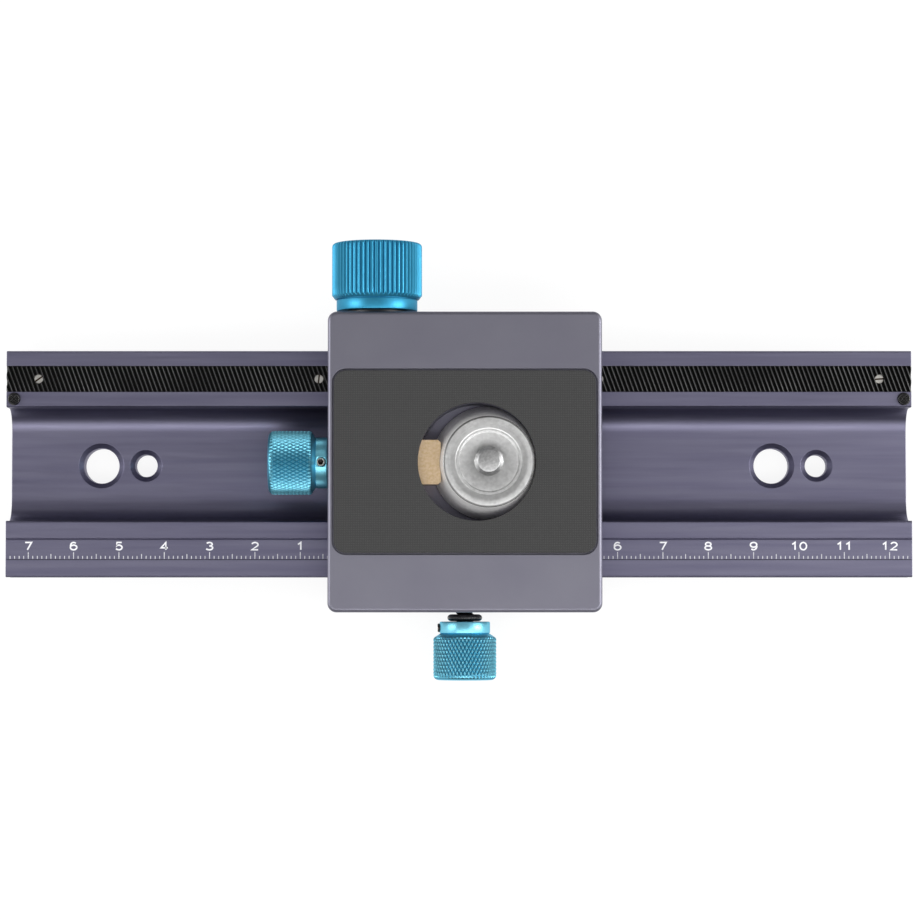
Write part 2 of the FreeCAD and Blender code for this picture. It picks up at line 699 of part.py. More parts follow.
def clamp_shoe():
    half = shoe_width / 2
    outline = [(shoe_back, -half), (shoe_tip - shoe_corner, -half), (shoe_tip, -half + shoe_corner),
               (shoe_tip, half - shoe_corner), (shoe_tip - shoe_corner, half), (shoe_back, half)]
    points = [V(x, y, shoe_bottom) for x, y in outline]
    bar = Part.Face(Part.makePolygon(points + points[:1])).extrude(V(0, 0, shoe_height))
    cone = turned(button_outline(shoe_nose_gap, seat_run_out), (seat_x, 0, button_bottom), (0, 0, 1))
    neck = hook_neck / 2 + hook_play
    head = hook_head / 2 + hook_play
    deep = hook_neck_length + hook_head_length + hook_play
    slot_neck = box(shoe_back - run_out, -neck, shoe_bottom - run_out, shoe_back + hook_neck_length, neck,
                    clamp_height)
    slot_head = box(shoe_back + hook_neck_length - hook_play, -head, shoe_bottom - run_out,
                    shoe_back + deep, head, clamp_height)
    round_neck = cylinder(neck, (shoe_back - run_out, 0, clamp_height), (1, 0, 0), hook_neck_length + run_out)
    round_head = cylinder(head, (shoe_back + hook_neck_length - hook_play, 0, clamp_height), (1, 0, 0),
                          hook_head_length + 2 * hook_play)
    return bar.cut([cone, slot_neck, slot_head, round_neck, round_head])


def clamp_screw():
    start = clamp_start[0] - knob_screw_length()
    shoulder = shoe_back - turn_play
    rod = turned([(0, 0), (clamp_thread / 2, 0), (clamp_thread / 2, shoulder - start),
                  (hook_neck / 2, shoulder - start), (hook_neck / 2, shoe_back + hook_neck_length - start),
                  (hook_head / 2, shoe_back + hook_neck_length - start),
                  (hook_head / 2, shoe_back + hook_neck_length + hook_head_length - start),
                  (0, shoe_back + hook_neck_length + hook_head_length - start)],
                 (start, 0, clamp_height), (1, 0, 0))
    return rod


# --- lock ------------------------------------------------------------------------------------------------
lock_axis = (0, -1, 0)
lock_side = (-1, 0, 0)


def lock_start():
    return (carriage_place, -lock_out - o_ring_section - turn_play, groove_height)


def lock_gib():
    """Brass strip with a V-rib; it stands off the rail by lock_open while unlocked."""
    half = gib_height / 2
    strip = box(carriage_place - gib_length / 2, -gib_back, groove_height - half,
                carriage_place + gib_length / 2, -gib_face, groove_height + half)
    return fused([strip, along_rail(rib_outline(gib_face, lock_open, -1), gib_length, carriage_place)])


def lock_screw():
    tip = -gib_back - turn_play
    end = lock_start()[1] - knob_screw_length()
    return cylinder(lock_thread / 2, (carriage_place, end, groove_height), (0, 1, 0), tip - end)


def lock_o_ring():
    half = o_ring_section / 2
    middle = lock_thread / 2 + half + fit_play
    turns = [2 * math.pi * (i + 0.5) / o_ring_sides for i in range(o_ring_sides)]
    section = [(middle + half * math.cos(a), half * math.sin(a)) for a in turns]
    return turned(section, (carriage_place, -lock_out - half, groove_height), (0, 1, 0))


# --- camera button ---------------------------------------------------------------------------------------
def camera_button():
    cone_top = button_top / 2
    neck = camera_thread_drill / 2
    head = camera_head / 2 + turn_play
    seat = camera_head_sink + camera_head_height + turn_play
    outline = [(head, 0), (button_radius - button_edge, 0), (button_radius, button_edge),
               (button_radius, button_rim), (cone_top + button_slope * button_edge, button_height - button_edge),
               (cone_top - button_edge, button_height), (button_dish / 2 + button_dish_depth, button_height),
               (button_dish / 2, button_height - button_dish_depth),
               (neck, button_height - button_dish_depth), (neck, seat), (head, seat)]
    return turned(outline, (seat_x, 0, button_bottom), (0, 0, 1))


def camera_screw():
    thread = camera_thread / 2
    neck = camera_neck_diameter / 2
    head = camera_head / 2
    low = camera_head_sink
    shoulder = low + camera_head_height
    above = button_height - button_dish_depth + turn_play
    tip = button_height + camera_reach
    outline = [(0, low), (head, low), (head, shoulder), (neck, shoulder), (neck, above), (thread, above),
               (thread, tip - camera_chamfer), (thread - camera_chamfer, tip), (0, tip)]
    screw = turned(outline, (seat_x, 0, button_bottom), (0, 0, 1))
    slot = box(seat_x - head, -camera_slot / 2, button_bottom, seat_x + head, camera_slot / 2,
               button_bottom + low + camera_head_height / 2)
    return screw.cut(slot)


pieces = [
    ("rail", rail), ("rack", rack), ("rack_screws", rack_screws), ("end_stop_screws", end_stop_screws),
    ("carriage_body", carriage_body), ("grip_pad", grip_pad), ("inner_shaft_bush", inner_shaft_bush),
    ("outer_shaft_bush", outer_shaft_bush), ("gib_adjusting_screws", gib_adjusting_screws),
    ("pinion_shaft", pinion_shaft), ("shaft_thrust_washer", shaft_thrust_washer), ("focus_knob", focus_knob),
    ("focus_knob_set_screw", focus_knob_set_screw),
    ("lock_gib", lock_gib), ("lock_screw", lock_screw), ("lock_o_ring", lock_o_ring),
    ("lock_knob", lambda: small_knob(lock_start(), lock_axis, lock_thread, lock_side)),
    ("lock_knob_set_screw", lambda: knob_set_screw(lock_start(), lock_axis, lock_thread, lock_side)),
    ("clamp_shoe", clamp_shoe), ("clamp_screw", clamp_screw),
    ("clamp_knob", lambda: small_knob(clamp_start, clamp_axis, clamp_thread, clamp_side)),
    ("clamp_knob_set_screw", lambda: knob_set_screw(clamp_start, clamp_axis, clamp_thread, clamp_side)),
    ("camera_button", camera_button), ("camera_screw", camera_screw)]

os.makedirs("parts", exist_ok=True)
for name, make in pieces:
    shape = make()
    shape.exportStep("parts/%s.step" % name)
    print(name, len(shape.Solids), "solids", round(shape.Volume, 2), "mm3", shape.isValid())
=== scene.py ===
import math

import bmesh
import bpy
from mathutils import Matrix, Vector


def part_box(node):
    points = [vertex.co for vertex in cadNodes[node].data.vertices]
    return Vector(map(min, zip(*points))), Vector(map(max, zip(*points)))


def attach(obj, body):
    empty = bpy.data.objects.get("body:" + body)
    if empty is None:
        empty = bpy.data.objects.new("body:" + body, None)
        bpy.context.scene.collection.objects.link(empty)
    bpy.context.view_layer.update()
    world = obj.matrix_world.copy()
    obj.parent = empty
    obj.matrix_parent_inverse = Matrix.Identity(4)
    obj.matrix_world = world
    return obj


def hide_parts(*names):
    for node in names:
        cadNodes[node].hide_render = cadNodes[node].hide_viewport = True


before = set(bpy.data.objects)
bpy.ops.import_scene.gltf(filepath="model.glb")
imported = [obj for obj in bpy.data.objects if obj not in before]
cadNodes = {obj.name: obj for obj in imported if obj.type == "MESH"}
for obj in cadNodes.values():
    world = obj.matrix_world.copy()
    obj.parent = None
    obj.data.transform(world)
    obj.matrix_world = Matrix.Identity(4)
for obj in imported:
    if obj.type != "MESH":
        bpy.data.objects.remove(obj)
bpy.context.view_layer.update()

# macro focusing rail: finishes, knurls, threads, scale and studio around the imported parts
# the rail lies along X, the focus knob points to +Y, sizes below are in mm unless a note says otherwise
mm = 0.001
stageScene = bpy.context.scene
print("frame loaded:", len(cadNodes), "nodes")


def boxOf(node):
    low, high = (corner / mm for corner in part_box(node))
    return low, high, (low + high) / 2


# finishes
def addNode(tree, kind, inputs=None, **settings):
    node = tree.nodes.new("ShaderNode" + kind)
    for name, value in settings.items():
        setattr(node, name, value)
    for name, value in (inputs or {}).items():
        if isinstance(value, bpy.types.NodeSocket):
            tree.links.new(value, node.inputs[name])
        else:
            node.inputs[name].default_value = value
    return node


def mathNode(tree, operation, *values, **settings):
    inputs = dict(enumerate(values))
    return addNode(tree, "Math", inputs, operation=operation, **settings).outputs[0]


def vectorNode(tree, operation, *values):
    return addNode(tree, "VectorMath", dict(enumerate(values)), operation=operation).outputs


def multiplied(tree, first, second):
    return mathNode(tree, "MULTIPLY", first, second)


def plug(shader, name, socket):
    shader.id_data.links.new(socket, shader.inputs[name])


def blankTree(owner):
    # the empty node tree of a material or a world
    owner.use_nodes = True
    owner.node_tree.nodes.clear()
    return owner.node_tree


def blankFinish(name):
    finish = bpy.data.materials.new(name)
    return finish, blankTree(finish)


def startFinish(name, look):
    finish, tree = blankFinish(name)
    shader = addNode(tree, "BsdfPrincipled", {
        "Metallic": look.get("metallic", 1.0), "Coat Weight": look.get("coat", 0.0),
        "Coat Roughness": look.get("coatRoughness", 0.1), "Specular IOR Level": look.get("specular", 0.5),
        "Specular Tint": (*look.get("edgeTint", (1, 1, 1)), 1)})
    addNode(tree, "OutputMaterial", {"Surface": shader.outputs["BSDF"]})
    finish.diffuse_color = (*look["color"], 1)
    return finish, tree, shader


def mixColor(tree, share, first, second):
    colors = [c if isinstance(c, bpy.types.NodeSocket) else (*c, 1) for c in (first, second)]
    return addNode(tree, "Mix", {0: share, 6: colors[0], 7: colors[1]}, data_type="RGBA").outputs[2]


def objectPlace(tree):
    return addNode(tree, "TexCoord").outputs["Object"]


def objectAxes(tree):
    return addNode(tree, "SeparateXYZ", {"Vector": objectPlace(tree)}).outputs


def stretched(tree, stretch):
    return addNode(tree, "Mapping", {"Vector": objectPlace(tree), "Scale": stretch}).outputs[0]


def grainAt(tree, look, kind, detail):
    # noise with blotches of the size that look gives for this kind
    place = stretched(tree, look.get(kind + "Stretch", (1, 1, 1)))
    return addNode(tree, "TexNoise", {"Vector": place, "Scale": 1 / (look[kind + "Size"] * mm),
                                      "Detail": detail}).outputs["Fac"]


def between(tree, value, low, high, toLow, toHigh):
    return addNode(tree, "MapRange", {"Value": value, "From Min": low, "From Max": high,
                                      "To Min": toLow, "To Max": toHigh}).outputs[0]


def raised(tree, height, depth, under=None):
    inputs = {"Height": height, "Distance": depth * mm, "Strength": 1.0}
    if under is not None:
        inputs["Normal"] = under
    return addNode(tree, "Bump", inputs).outputs[0]


def edgeShare(tree, width):
    # 1 on the broken edges of a machined piece, where the painted highlight goes, 0 on its faces
    soft = addNode(tree, "Bevel", {"Radius": width * mm}, samples=4).outputs[0]
    flat = addNode(tree, "NewGeometry").outputs["Normal"]
    likeness = vectorNode(tree, "DOT_PRODUCT", soft, flat)["Value"]
    edgeStart, edgeFull = 0.99, 0.86
    return between(tree, likeness, edgeStart, edgeFull, 0.0, 1.0), soft


def driftedColor(tree, look, detail):
    # the body's colour, which drifts slowly from place to place
    drift = grainAt(tree, look, "drift", detail)
    return mixColor(tree, between(tree, drift, 0.3, 0.7, 0, 1), look["color"], look["drift"]), drift


def finishGrain(tree, shader, look, under=None, detail=2.0, low=0.25):
    # a fine grain in the gloss and the surface
    grain = grainAt(tree, look, "grain", detail)
    plug(shader, "Roughness", between(tree, grain, low, 1 - low, *look["rough"]))
    plug(shader, "Normal", raised(tree, grain, look["grainDepth"], under))
    return grain


def machinedFinish(name, look):
    # metal with a fine grain, a drifting colour and a painted highlight along its edges
    finish, tree, shader = startFinish(name, look)
    edge, soft = edgeShare(tree, look["edgeWidth"])
    # painted highlight: the broken edges get a lighter colour, whatever the light
    paintedHighlight = between(tree, edge, 0, 1, 0, look["edgeShare"])
    plug(shader, "Base Color", mixColor(tree, paintedHighlight, driftedColor(tree, look, 3.0)[0], look["edgeHighlightColor"]))
    finishGrain(tree, shader, look, soft)
    return finish


def radiusAround(tree, axis, place):
    # distance from an axis through place, in metres
    fromPlace = vectorNode(tree, "SUBTRACT", objectPlace(tree), [c * mm for c in place])[0]
    across = vectorNode(tree, "MULTIPLY", fromPlace, [0 if a else 1 for a in axis])[0]
    return vectorNode(tree, "LENGTH", across)["Value"]


def anodisedFinish(name, look, axis, place, grip, depth):
    # dyed metal with a slow drift of colour and painted shade down in the knurl or the flutes
    finish, tree, shader = startFinish(name, look)
    radius = radiusAround(tree, axis, place)
    # painted shade: the colour darkens towards the bottom of the knurl or the flutes
    under = between(tree, radius, (grip - depth) * mm, (grip - 0.15 * depth) * mm, look["grooveShadeShare"], 0)
    outside = between(tree, radius, (grip - 2 * depth) * mm, (grip - 1.2 * depth) * mm, 0, 1)
    body = driftedColor(tree, look, 2.0)[0]
    plug(shader, "Base Color", mixColor(tree, multiplied(tree, under, outside), body, look["grooveShadeColor"]))
    finishGrain(tree, shader, look)
    return finish


def turnedFinish(name, look, axis, place):
    # metal faced on a lathe, with fine rings, and painted rings of highlight and shade by radius
    finish, tree, shader = startFinish(name, look)
    radius = radiusAround(tree, axis, place)
    rings = addNode(tree, "TexNoise", {"W": radius, "Scale": 1 / (look["ringSize"] * mm), "Detail": 2.0},
                    noise_dimensions="1D").outputs["Fac"]
    body, cloud = driftedColor(tree, look, 4.0)
    # painted highlight and shade: tones by radius stand in for light on the turned steps and chamfers
    reach = look["paintedBands"][-1][0]
    ramp = addNode(tree, "ValToRGB", {"Fac": between(tree, radius, 0, reach * mm, 0, 1)})
    stops = ramp.color_ramp.elements
    for band, tone in look["paintedBands"][1:-1]:
        stops.new(band / reach)
    for stop, (band, tone) in zip(stops, look["paintedBands"]):
        stop.color = (tone, tone, tone, 1)
    paintedRingLight = addNode(tree, "Mix", {0: 1.0, 6: body, 7: ramp.outputs["Color"]}, data_type="RGBA",
                     blend_type="MULTIPLY").outputs[2]
    plug(shader, "Base Color", paintedRingLight)
    fine = between(tree, rings, 0.2, 0.8, *look["rough"])
    plug(shader, "Roughness", multiplied(tree, fine, between(tree, cloud, 0.3, 0.7, 0.9, 1.15)))
    plug(shader, "Normal", raised(tree, rings, look["ringDepth"]))
    return finish


railLook = {
    "color": (0.152, 0.146, 0.218), "drift": (0.186, 0.18, 0.253), "driftSize": 1.4,
    "driftStretch": (0.04, 1, 1), "edgeHighlightColor": (0.26, 0.25, 0.34), "edgeShare": 0.3, "edgeWidth": 0.18,
    "rough": (0.4, 0.48), "grainSize": 0.35, "grainStretch": (0.03, 1, 1), "grainDepth": 0.0035,
}
carriageLook = {
    "color": (0.205, 0.2, 0.246), "drift": (0.222, 0.218, 0.262), "driftSize": 14.0,
    "edgeHighlightColor": (0.3, 0.295, 0.34), "edgeShare": 0.2, "edgeWidth": 0.2,
    "rough": (0.42, 0.52), "grainSize": 0.16, "grainDepth": 0.003,
}
blueLook = {
    "color": (0.032, 0.266, 0.436), "drift": (0.04, 0.29, 0.466), "driftSize": 5.0, "metallic": 0.75,
    "grooveShadeColor": (0.02, 0.165, 0.29), "grooveShadeShare": 0.35, "edgeTint": (0.45, 0.7, 0.85),
    "rough": (0.36, 0.44), "grainSize": 0.3, "grainDepth": 0.0004, "coat": 0.08, "coatRoughness": 0.25,
}
paleBlueLook = dict(
    blueLook, color=(0.195, 0.6, 0.755), drift=(0.225, 0.64, 0.795), metallic=0.9,
    grooveShadeColor=(0.01, 0.105, 0.185), grooveShadeShare=0.7, rough=(0.3, 0.38), grainDepth=0.001)
blackSteelLook = {
    "color": (0.02, 0.02, 0.021), "drift": (0.032, 0.031, 0.031), "driftSize": 2.0,
    "edgeHighlightColor": (0.1, 0.1, 0.1), "edgeShare": 0.5, "edgeWidth": 0.06,
    "rough": (0.32, 0.46), "grainSize": 0.12, "grainDepth": 0.002,
}
brightSteelLook = {
    "color": (0.6, 0.57, 0.53), "drift": (0.68, 0.66, 0.62), "driftSize": 1.2,
    "edgeHighlightColor": (0.85, 0.83, 0.8), "edgeShare": 0.6, "edgeWidth": 0.05,
    "rough": (0.2, 0.34), "grainSize": 0.15, "grainDepth": 0.001,
}
brassLook = {
    "color": (0.66, 0.48, 0.27), "drift": (0.78, 0.6, 0.42), "driftSize": 0.55,
    "edgeHighlightColor": (0.92, 0.8, 0.58), "edgeShare": 0.9, "edgeWidth": 0.14,
    "rough": (0.36, 0.5), "grainSize": 0.22, "grainStretch": (1, 0.12, 1), "grainDepth": 0.004,
}
bronzeLook = {
    "color": (0.42, 0.27, 0.14), "drift": (0.5, 0.33, 0.18), "driftSize": 1.0,
    "edgeHighlightColor": (0.7, 0.52, 0.32), "edgeShare": 0.4, "edgeWidth": 0.08,
    "rough": (0.38, 0.55), "grainSize": 0.12, "grainDepth": 0.004,
}

railFinish = machinedFinish("rail_titanium_anodised", railLook)
carriageFinish = machinedFinish("carriage_titanium_anodised", carriageLook)
blackSteelFinish = machinedFinish("black_oxide_steel", blackSteelLook)
brightSteelFinish = machinedFinish("bright_screw_steel", brightSteelLook)
brassFinish = machinedFinish("milled_brass", brassLook)
bronzeFinish = machinedFinish("sintered_bronze", bronzeLook)

rackLook = {
    "color": (0.008, 0.008, 0.008), "tipColor": (0.02, 0.02, 0.02), "tipHighlightColor": (0.55, 0.55, 0.55),
    "module": 0.3, "helix": 20.0, "tipDepth": 0.06, "linePlace": 0.58, "lineHalf": 0.052, "glintSize": 14.0,
    "metallic": 0.8, "rough": (0.3, 0.5), "grainSize": 0.2, "grainDepth": 0.002,
}


def rackFinish(look):
    # black oxide with a painted highlight along one edge of each tooth tip
    finish, tree, shader = startFinish("blackened_rack_steel", look)
    low, high = boxOf("rack")[:2]
    slant = math.tan(math.radians(look["helix"]))
    pitch = math.pi * look["module"] / math.cos(math.radians(look["helix"]))
    at = objectAxes(tree)
    tipEnd, tipStart = high.z - look["tipDepth"], high.z - 0.2 * look["tipDepth"]
    # the tooth line shifts over the width
    shift = -slant * (low.y + high.y) / 2 / pitch
    across = mathNode(tree, "MULTIPLY_ADD", at["Y"], slant / (pitch * mm), shift)
    tooth = mathNode(tree, "FRACT", mathNode(tree, "MULTIPLY_ADD", at["X"], 1 / (pitch * mm), across))
    off = mathNode(tree, "ABSOLUTE", mathNode(tree, "SUBTRACT", tooth, look["linePlace"]))
    line = between(tree, off, 0.5 * look["lineHalf"], look["lineHalf"], 1, 0)
    tip = between(tree, at["Z"], tipEnd * mm, tipStart * mm, 0, 1)
    grain = finishGrain(tree, shader, look, None, 4.0, 0.3)
    patches = between(tree, grainAt(tree, look, "glint", 1.0), 0.35, 0.65, 0.35, 1.0)
    # painted highlight: a bright line on one edge of each tip, broken into patches
    tipHighlight = multiplied(tree, multiplied(tree, tip, line), patches)
    paintedHighlight = multiplied(tree, tipHighlight, between(tree, grain, 0.2, 0.6, 0.5, 1.0))
    steel = mixColor(tree, tip, look["color"], look["tipColor"])
    plug(shader, "Base Color", mixColor(tree, paintedHighlight, steel, look["tipHighlightColor"]))
    return finish


headLook = {
    "color": (0.62, 0.6, 0.56), "drift": (0.74, 0.72, 0.68), "driftSize": 0.5,
    "slotShadeColor": (0.06, 0.035, 0.02), "slotDepth": 0.12,
    "rough": (0.28, 0.42), "grainSize": 0.12, "grainDepth": 0.001,
}


def screwHeadFinish(look):
    # bright heads with painted shade down in the slots
    finish, tree, shader = startFinish("rack_screw_steel", look)
    top = boxOf("rack_screws")[1].z
    slotFoot, slotMouth = top - look["slotDepth"], top - 0.2 * look["slotDepth"]
    # painted shade: everything below the slot's foot is darkened
    deep = between(tree, objectAxes(tree)["Z"], slotFoot * mm, slotMouth * mm, 1, 0)
    plug(shader, "Base Color", mixColor(tree, deep, driftedColor(tree, look, 3.0)[0], look["slotShadeColor"]))
    finishGrain(tree, shader, look)
    return finish


rubberLook = {
    "color": (0.028, 0.028, 0.028), "ribColor": (0.062, 0.062, 0.062), "metallic": 0.0, "specular": 0.35,
    "ribPitch": 0.5, "ribDepth": 0.05, "ribWander": 0.4,
    "rough": (0.62, 0.78), "grainSize": 0.1, "grainDepth": 0.006,
}


def rubberFinish(look):
    # moulded rubber with a fine woven rib
    finish, tree, shader = startFinish("ribbed_rubber", look)
    waves = []
    period = 0.314  # of a wave texture with scale 1, in metres
    for direction in ("X", "Y"):
        waves.append(addNode(tree, "TexWave", {
            "Vector": stretched(tree, (1, 1, 1)), "Scale": period / (look["ribPitch"] * mm),
            "Distortion": look["ribWander"], "Detail": 1.0, "Detail Scale": 2.0},
            bands_direction=direction).outputs["Fac"])
    woven = multiplied(tree, *waves)
    grain = finishGrain(tree, shader, look, raised(tree, woven, look["ribDepth"]), 3.0, 0.3)
    speckle = between(tree, grain, 0.3, 0.7, 0.0, 0.4)
    shade = mathNode(tree, "MULTIPLY_ADD", woven, 0.7, speckle, use_clamp=True)
    plug(shader, "Base Color", mixColor(tree, shade, look["color"], look["ribColor"]))
    return finish


nylonLook = {
    "color": (0.014, 0.014, 0.015), "drift": (0.024, 0.024, 0.025), "driftSize": 0.8, "metallic": 0.0,
    "edgeHighlightColor": (0.05, 0.05, 0.05), "edgeShare": 0.4, "edgeWidth": 0.05,
    "rough": (0.36, 0.5), "grainSize": 0.15, "grainDepth": 0.002,
}
paintLook = {
    "color": (0.9, 0.9, 0.92), "drift": (0.74, 0.74, 0.77), "driftSize": 0.3, "metallic": 0.0,
    "edgeHighlightColor": (0.8, 0.8, 0.82), "edgeShare": 0.0, "edgeWidth": 0.01,
    "rough": (0.5, 0.65), "grainSize": 0.08, "grainDepth": 0.002,
}
nylonFinish = machinedFinish("black_nylon", nylonLook)
paintFinish = machinedFinish("white_scale_paint", paintLook)
tickFinish = machinedFinish("worn_scale_paint", dict(
    paintLook, color=(0.78, 0.78, 0.8), drift=(0.5, 0.5, 0.53)))
scribedFinish = machinedFinish("scribed_line_dark", dict(
    paintLook, color=(0.03, 0.028, 0.045), drift=(0.06, 0.057, 0.085), metallic=0.6))
print("finishes made")


# piece making
def placed(name, data):
    holder = bpy.data.objects.new(name, data)
    stageScene.collection.objects.link(holder)
    return holder


def smoothed(mesh, sharpAngle):
    mesh.polygons.foreach_set("use_smooth", [True] * len(mesh.polygons))
    mesh.set_sharp_from_angle(angle=math.radians(sharpAngle))


def newPiece(name, points, faces, finish, body, sharpAngle=32):
    mesh = bpy.data.meshes.new(name)
    mesh.from_pydata([Vector(p) * mm for p in points], [], faces)
    mesh.materials.append(finish)
    smoothed(mesh, sharpAngle)
    mesh.update()
    piece = placed(name, mesh)
    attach(piece, body)
    return piece


def plate(points, faces, x0, y0, x1, y1, z0, z1):
    start = len(points)
    points += [(x, y, z) for z in (z0, z1) for x, y in ((x0, y0), (x1, y0), (x1, y1), (x0, y1))]
    for face in ((0, 3, 2, 1), (4, 5, 6, 7), (0, 1, 5, 4), (1, 2, 6, 5), (2, 3, 7, 6), (3, 0, 4, 7)):
        faces.append(tuple(start + v for v in face))


def roundedOutline(outline, radius, steps):
    # rounds the corners of a (radius, distance) outline, by at most a third of a neighbouring side
    made = []
    for i, corner in enumerate(outline):
        if i in (0, len(outline) - 1):
            made.append(corner)
            continue
        here, before, after = (Vector(outline[k]) for k in (i, i - 1, i + 1))
        room = min(radius, (before - here).length / 3, (after - here).length / 3)
        first = here + (before - here).normalized() * room
        last = here + (after - here).normalized() * room
        for k in range(steps + 1):
            t = k / steps
            made.append(tuple(first.lerp(here, t).lerp(here.lerp(last, t), t)))
    return made


def fullTurn(steps):
    return [2 * math.pi * i / steps for i in range(steps)]


def roundedEnd(radius, length, bend, first, step):
    # quarter round at the outer end of a knob
    turns = [math.radians(a) for a in range(first, 91, step)]
    return [(radius - bend + bend * math.cos(t), length - bend + bend * math.sin(t)) for t in turns]


def dishedEnd(look, length):
    # the shallow recess in a knob's outer face
    foot = length - look["dishDepth"]
    return [(look["endDish"], length), (look["endDish"] - look["dishSlope"], foot), (0, foot)]


def sloped(start, end, steps):
    # even rows from start toward end
    return [tuple(a + (b - a) * i / steps for a, b in zip(start, end)) for i in range(steps)]


def spunFaces(rowStarts, rowSizes, columns, closed, splitAt):
    faces = []
    rows = len(rowSizes)
    for r in range(rows if closed else rows - 1):
        a, b = rowStarts[r], rowStarts[(r + 1) % rows]
        first, second = rowSizes[r] == 1, rowSizes[(r + 1) % rows] == 1
        for c in range(0 if first and second else columns):
            d = (c + 1) % columns
            split = splitAt(r, c) if splitAt else None
            if first:
                faces.append((a, b + d, b + c))
            elif second:
                faces.append((a + c, a + d, b))
            elif split is None:
                faces.append((a + c, a + d, b + d, b + c))
            elif split:
                faces += [(a + c, a + d, b + d), (a + c, b + d, b + c)]
            else:
                faces += [(a + c, a + d, b + c), (a + d, b + d, b + c)]
    return faces


def spin(name, outline, place, axis, finish, body, columns=96, closed=False, shape=None,
         splitAt=None, sharpAngle=32):
    # turns an outline around an axis; shape(row, angle, radius, distance) gives the radius
    turn = Vector((0, 0, 1)).rotation_difference(Vector(axis)).to_matrix()
    points, starts, sizes = [], [], []
    for row, (radius, distance) in enumerate(outline):
        starts.append(len(points))
        sizes.append(1 if radius < 1e-6 else columns)
        for angle in fullTurn(columns)[:sizes[-1]]:
            wide = shape(row, angle, radius, distance) if shape else radius
            at = Vector((wide * math.cos(angle), wide * math.sin(angle), distance))
            points.append(Vector(place) + turn @ at)
    faces = spunFaces(starts, sizes, columns, closed, splitAt)
    piece = newPiece(name, points, faces, finish, body, sharpAngle)
    outward(piece)
    return piece


def outward(piece):
    # a closed mesh whose volume comes out negative is inside out
    mesh = piece.data
    mesh.calc_loop_triangles()
    volume = 0.0
    for triangle in mesh.loop_triangles:
        a, b, c = (mesh.vertices[v].co for v in triangle.vertices)
        volume += a.dot(b.cross(c))
    if volume < 0:
        mesh.flip_normals()


def cutAway(piece, cutters):
    # cuts holes and slots, then throws the cutters away
    for cutter in cutters:
        cut = piece.modifiers.new("cut", "BOOLEAN")
        cut.object = cutter
        cut.operation = "DIFFERENCE"
        cut.solver = "EXACT"
    graph = bpy.context.evaluated_depsgraph_get()
    mesh = bpy.data.meshes.new_from_object(piece.evaluated_get(graph))
    piece.modifiers.clear()
    old = piece.data
    piece.data = mesh
    mesh.name = old.name
    bpy.data.meshes.remove(old)
    for cutter in cutters:
        bpy.data.objects.remove(cutter)


def cutterRod(radius, length, place, axis):
    outline = [(0, 0), (radius, 0), (radius, length), (0, length)]
    return spin("cutter", outline, place, axis, blackSteelFinish, "rail", columns=48)


def drillCollar(knob, place, axis, side, look):
    # the set screw's hole in the collar
    reach = look["collar"] * 1.5
    cutAway(knob, [cutterRod(look["setScrewHole"], reach, place + Vector(axis) * look["holeAt"], side)])


def threadRows(radius, start, end, pitch, perPitch=8):
    # the rows of a rod's thread
    count = max(2, round((end - start) / pitch * perPitch))
    return [(radius, start + (end - start) * i / count) for i in range(count + 1)]


def threadRadius(radius, depth, pitch, angle, distance):
    # how far out a thread stands at this angle and distance, crest and root a little flat
    share = (distance / pitch - angle / (2 * math.pi)) % 1
    flank = abs(2 * share - 1)
    return radius - depth * min(1.0, max(0.0, 1.25 * flank - 0.125))


def threadShape(look, rows, widest=None):
    # the shape of a rod with a thread on some rows, no wider there than widest(distance)
    def shape(row, angle, radius, distance):
        if row not in rows:
            return radius
        wide = threadRadius(radius, look["depth"], look["pitch"], angle, distance)
        return min(widest(distance), wide) if widest else wide

    return shape


# small knurled knobs
smallKnob = {
    "grip": 7.0, "endRound": 1.2, "collar": 5.6, "collarLength": 2.5, "collarEdge": 0.3, "coneFoot": 5.35,
    "coneStep": 0.06, "coneLength": 1.1, "coneRows": 6, "endWall": 3.0, "endDish": 4.95, "dishSlope": 0.25,
    "dishDepth": 0.25, "knurlDepth": 0.32, "knurlSlope": 1.3, "knurlsAround": 50, "knurlPitch": 1.63,
    "perKnurl": 6, "setScrewHole": 1.06, "holeAt": 1.2, "sharpAngle": 24,
}


def knurlHeight(look, angle, distance):
    # 1 on top of a diamond, 0 down in the two sets of crossing grooves
    around = angle / (2 * math.pi) * look["knurlsAround"]
    along = distance / look["knurlPitch"]
    groove = 2 * max(abs((around + along) % 1 - 0.5), abs((around - along) % 1 - 0.5))
    return min(1.0, (1 - groove) * look["knurlSlope"])


